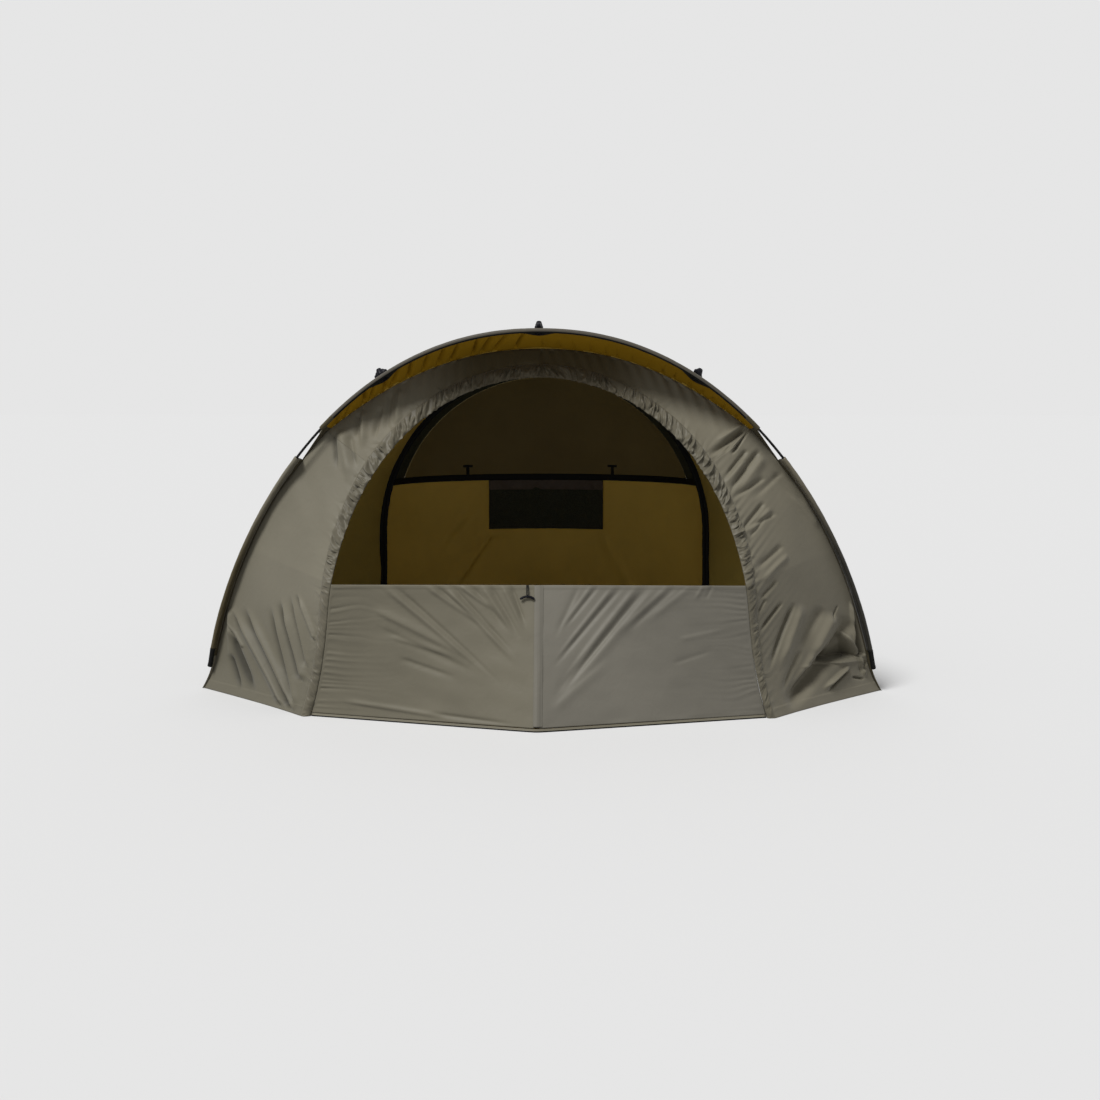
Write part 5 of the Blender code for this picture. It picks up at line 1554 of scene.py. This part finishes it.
def make_boss(side, place, flange, stud):
    """A flanged boss through the canopy: a socket from below, and the stud for the cap on top."""
    bottom = BOSS_UNDER - BOSS_FLANGE
    wide, soft = BOSS_FLANGE_RADIUS, 0.0006
    socket, socket_top = 0.0030, bottom + 0.006
    profile = [(socket, socket_top), (socket, bottom), (wide - soft, bottom),
               (wide, bottom + soft), (wide, BOSS_UNDER), (BOSS_NECK_RADIUS, BOSS_UNDER),
               (BOSS_NECK_RADIUS, BOSS_TOP), (wide, BOSS_TOP), (wide, flange - soft),
               (wide - soft, flange), (BOSS_STUD_RADIUS, flange),
               (BOSS_STUD_RADIUS, stud - soft), (BOSS_STUD_RADIUS - soft, stud)]
    boss = lathed(f"boss_{side}", profile, place)
    declare(boss, "tent", f"storm_boss_{side}")


def make_cap(side, place, flange, stud):
    """A winged cap with a bore for the stud."""
    shares = (0.0, 0.02, 0.10, 0.26, 0.36, 0.46, 0.58, 0.72, 0.80, 0.88, 0.95, 0.985, 1.0)
    radii = (0.0100, 0.0106, 0.0125, 0.0155, 0.0158, 0.0155, 0.0136, 0.0125, 0.0108, 0.0102,
             0.0090, 0.0078, 0.0062)
    seat, bore = flange + GAP, BOSS_STUD_RADIUS + GAP
    profile = [(bore, stud + GAP), (bore, seat)]
    profile += [(radius, seat + share * CAP_HEIGHT) for radius, share in zip(radii, shares)]
    turn = Matrix.Rotation(math.pi * CAP_TURNS[side], 4, "Z")
    cap = lathed(f"cap_{side}", profile, place @ turn, 128, winged)
    declare(cap, f"storm_cap_{side}", f"storm_cap_{side}")


def make_patch(side, place):
    """A three-cornered reinforcement under the canopy, with its base along the sleeve."""
    part, across = np.meshgrid(np.linspace(0, 1, 16), np.linspace(-1, 1, 60), indexing="ij")
    width, depth, off_sleeve, under = 0.066, 0.030, 0.002, 0.0032
    half = width * (1 - part) + BOSS_FLANGE_RADIUS * part
    share = STORM_SHARES[side] + across * half / FRONT.length
    grid = canopy_point(share, back_by(share, SLEEVE_EDGE + off_sleeve + depth * part))
    grid = grid + inward_at(share) * under

    def over_boss(point):
        return (Vector(point) - place.translation).length < BOSS_NECK_RADIUS + 0.004

    cloth(f"patch_{side}", f"storm_patch_{side}", grid, [BLACK],
          skip=over_boss)


def make_fittings():
    flange = BOSS_TOP + BOSS_FLANGE
    stud = flange + BOSS_STUD_LENGTH
    for side, place in storm_places().items():
        make_boss(side, place, flange, stud)
        make_cap(side, place, flange, stud)
        make_patch(side, place)


# Stage


def seen_directly(tree):
    """1 for rays from the camera, and for those that gloss or glass passes on."""
    rays = add(tree, "ShaderNodeLightPath").outputs
    total = rays["Is Camera Ray"]
    for kind in ("Is Glossy Ray", "Is Transmission Ray"):
        total = add(tree, "ShaderNodeMath", {0: total, 1: rays[kind]}, operation="ADD",
                    use_clamp=True).outputs[0]
    return total


def grey(level):
    return (level, level, level, 1)


def make_world():
    """Even light all round, and a plain backdrop where rays see the world itself."""
    world = bpy.data.worlds.new("studio")
    bpy.context.scene.world = world
    world.use_nodes = True
    tree = world.node_tree
    tree.nodes.clear()
    light = add(tree, "ShaderNodeBackground", {"Color": grey(1), "Strength": SKY_LEVEL})
    seen = add(tree, "ShaderNodeBackground", {"Color": grey(BACKGROUND), "Strength": 1.0})
    either = add(tree, "ShaderNodeMixShader",
                 {0: seen_directly(tree), 1: light.outputs[0], 2: seen.outputs[0]})
    add(tree, "ShaderNodeOutputWorld", {0: either.outputs[0]})


def make_floor():
    """A floor that throws less light back on the tent than it shows to the camera."""
    paint, tree, sockets = new_material("floor")
    colour = blend(tree, seen_directly(tree), grey(FLOOR_LIGHT), grey(FLOOR_SEEN))
    feed(tree, sockets, {"Base Color": colour, "Roughness": 0.9, "Specular IOR Level": 0.0})
    half = FLOOR_WIDTH / 2
    corners = [(-half, -half, 0), (half, -half, 0), (half, half, 0), (-half, half, 0)]
    build("floor", corners, [[0, 1, 2, 3]], [paint])


def make_sun():
    lamp = bpy.data.lights.new("sun", "SUN")
    lamp.energy = SUN_LEVEL
    lamp.angle = SUN_SPREAD
    sun = add_object("sun", lamp)
    sun.rotation_euler = Vector(SUN_TOWARDS).to_track_quat("Z", "Y").to_euler()


def make_camera():
    view = bpy.data.cameras.new("camera")
    view.sensor_width = 36.0
    view.lens = view.sensor_width * FOCAL_PIXELS / IMAGE_SIZE
    view.shift_y = (HORIZON_PIXEL - IMAGE_SIZE / 2) / IMAGE_SIZE
    camera = add_object("camera", view)
    camera.location = CAMERA_PLACE
    camera.rotation_euler = (math.pi / 2, 0, CAMERA_YAW)
    bpy.context.scene.camera = camera
    bpy.context.scene.view_settings.view_transform = "Standard"


dress_frame()
make_world()
make_floor()
make_sun()
make_camera()
make_roof()
make_sides()
make_front_wall()
make_binding()
make_doors()
make_rear_wall()
make_dome()
make_window()
make_tapes()
make_straps()
make_sleeves()
make_poles()
make_sill()
make_zip()
make_slider()
make_toggle()
make_fittings()
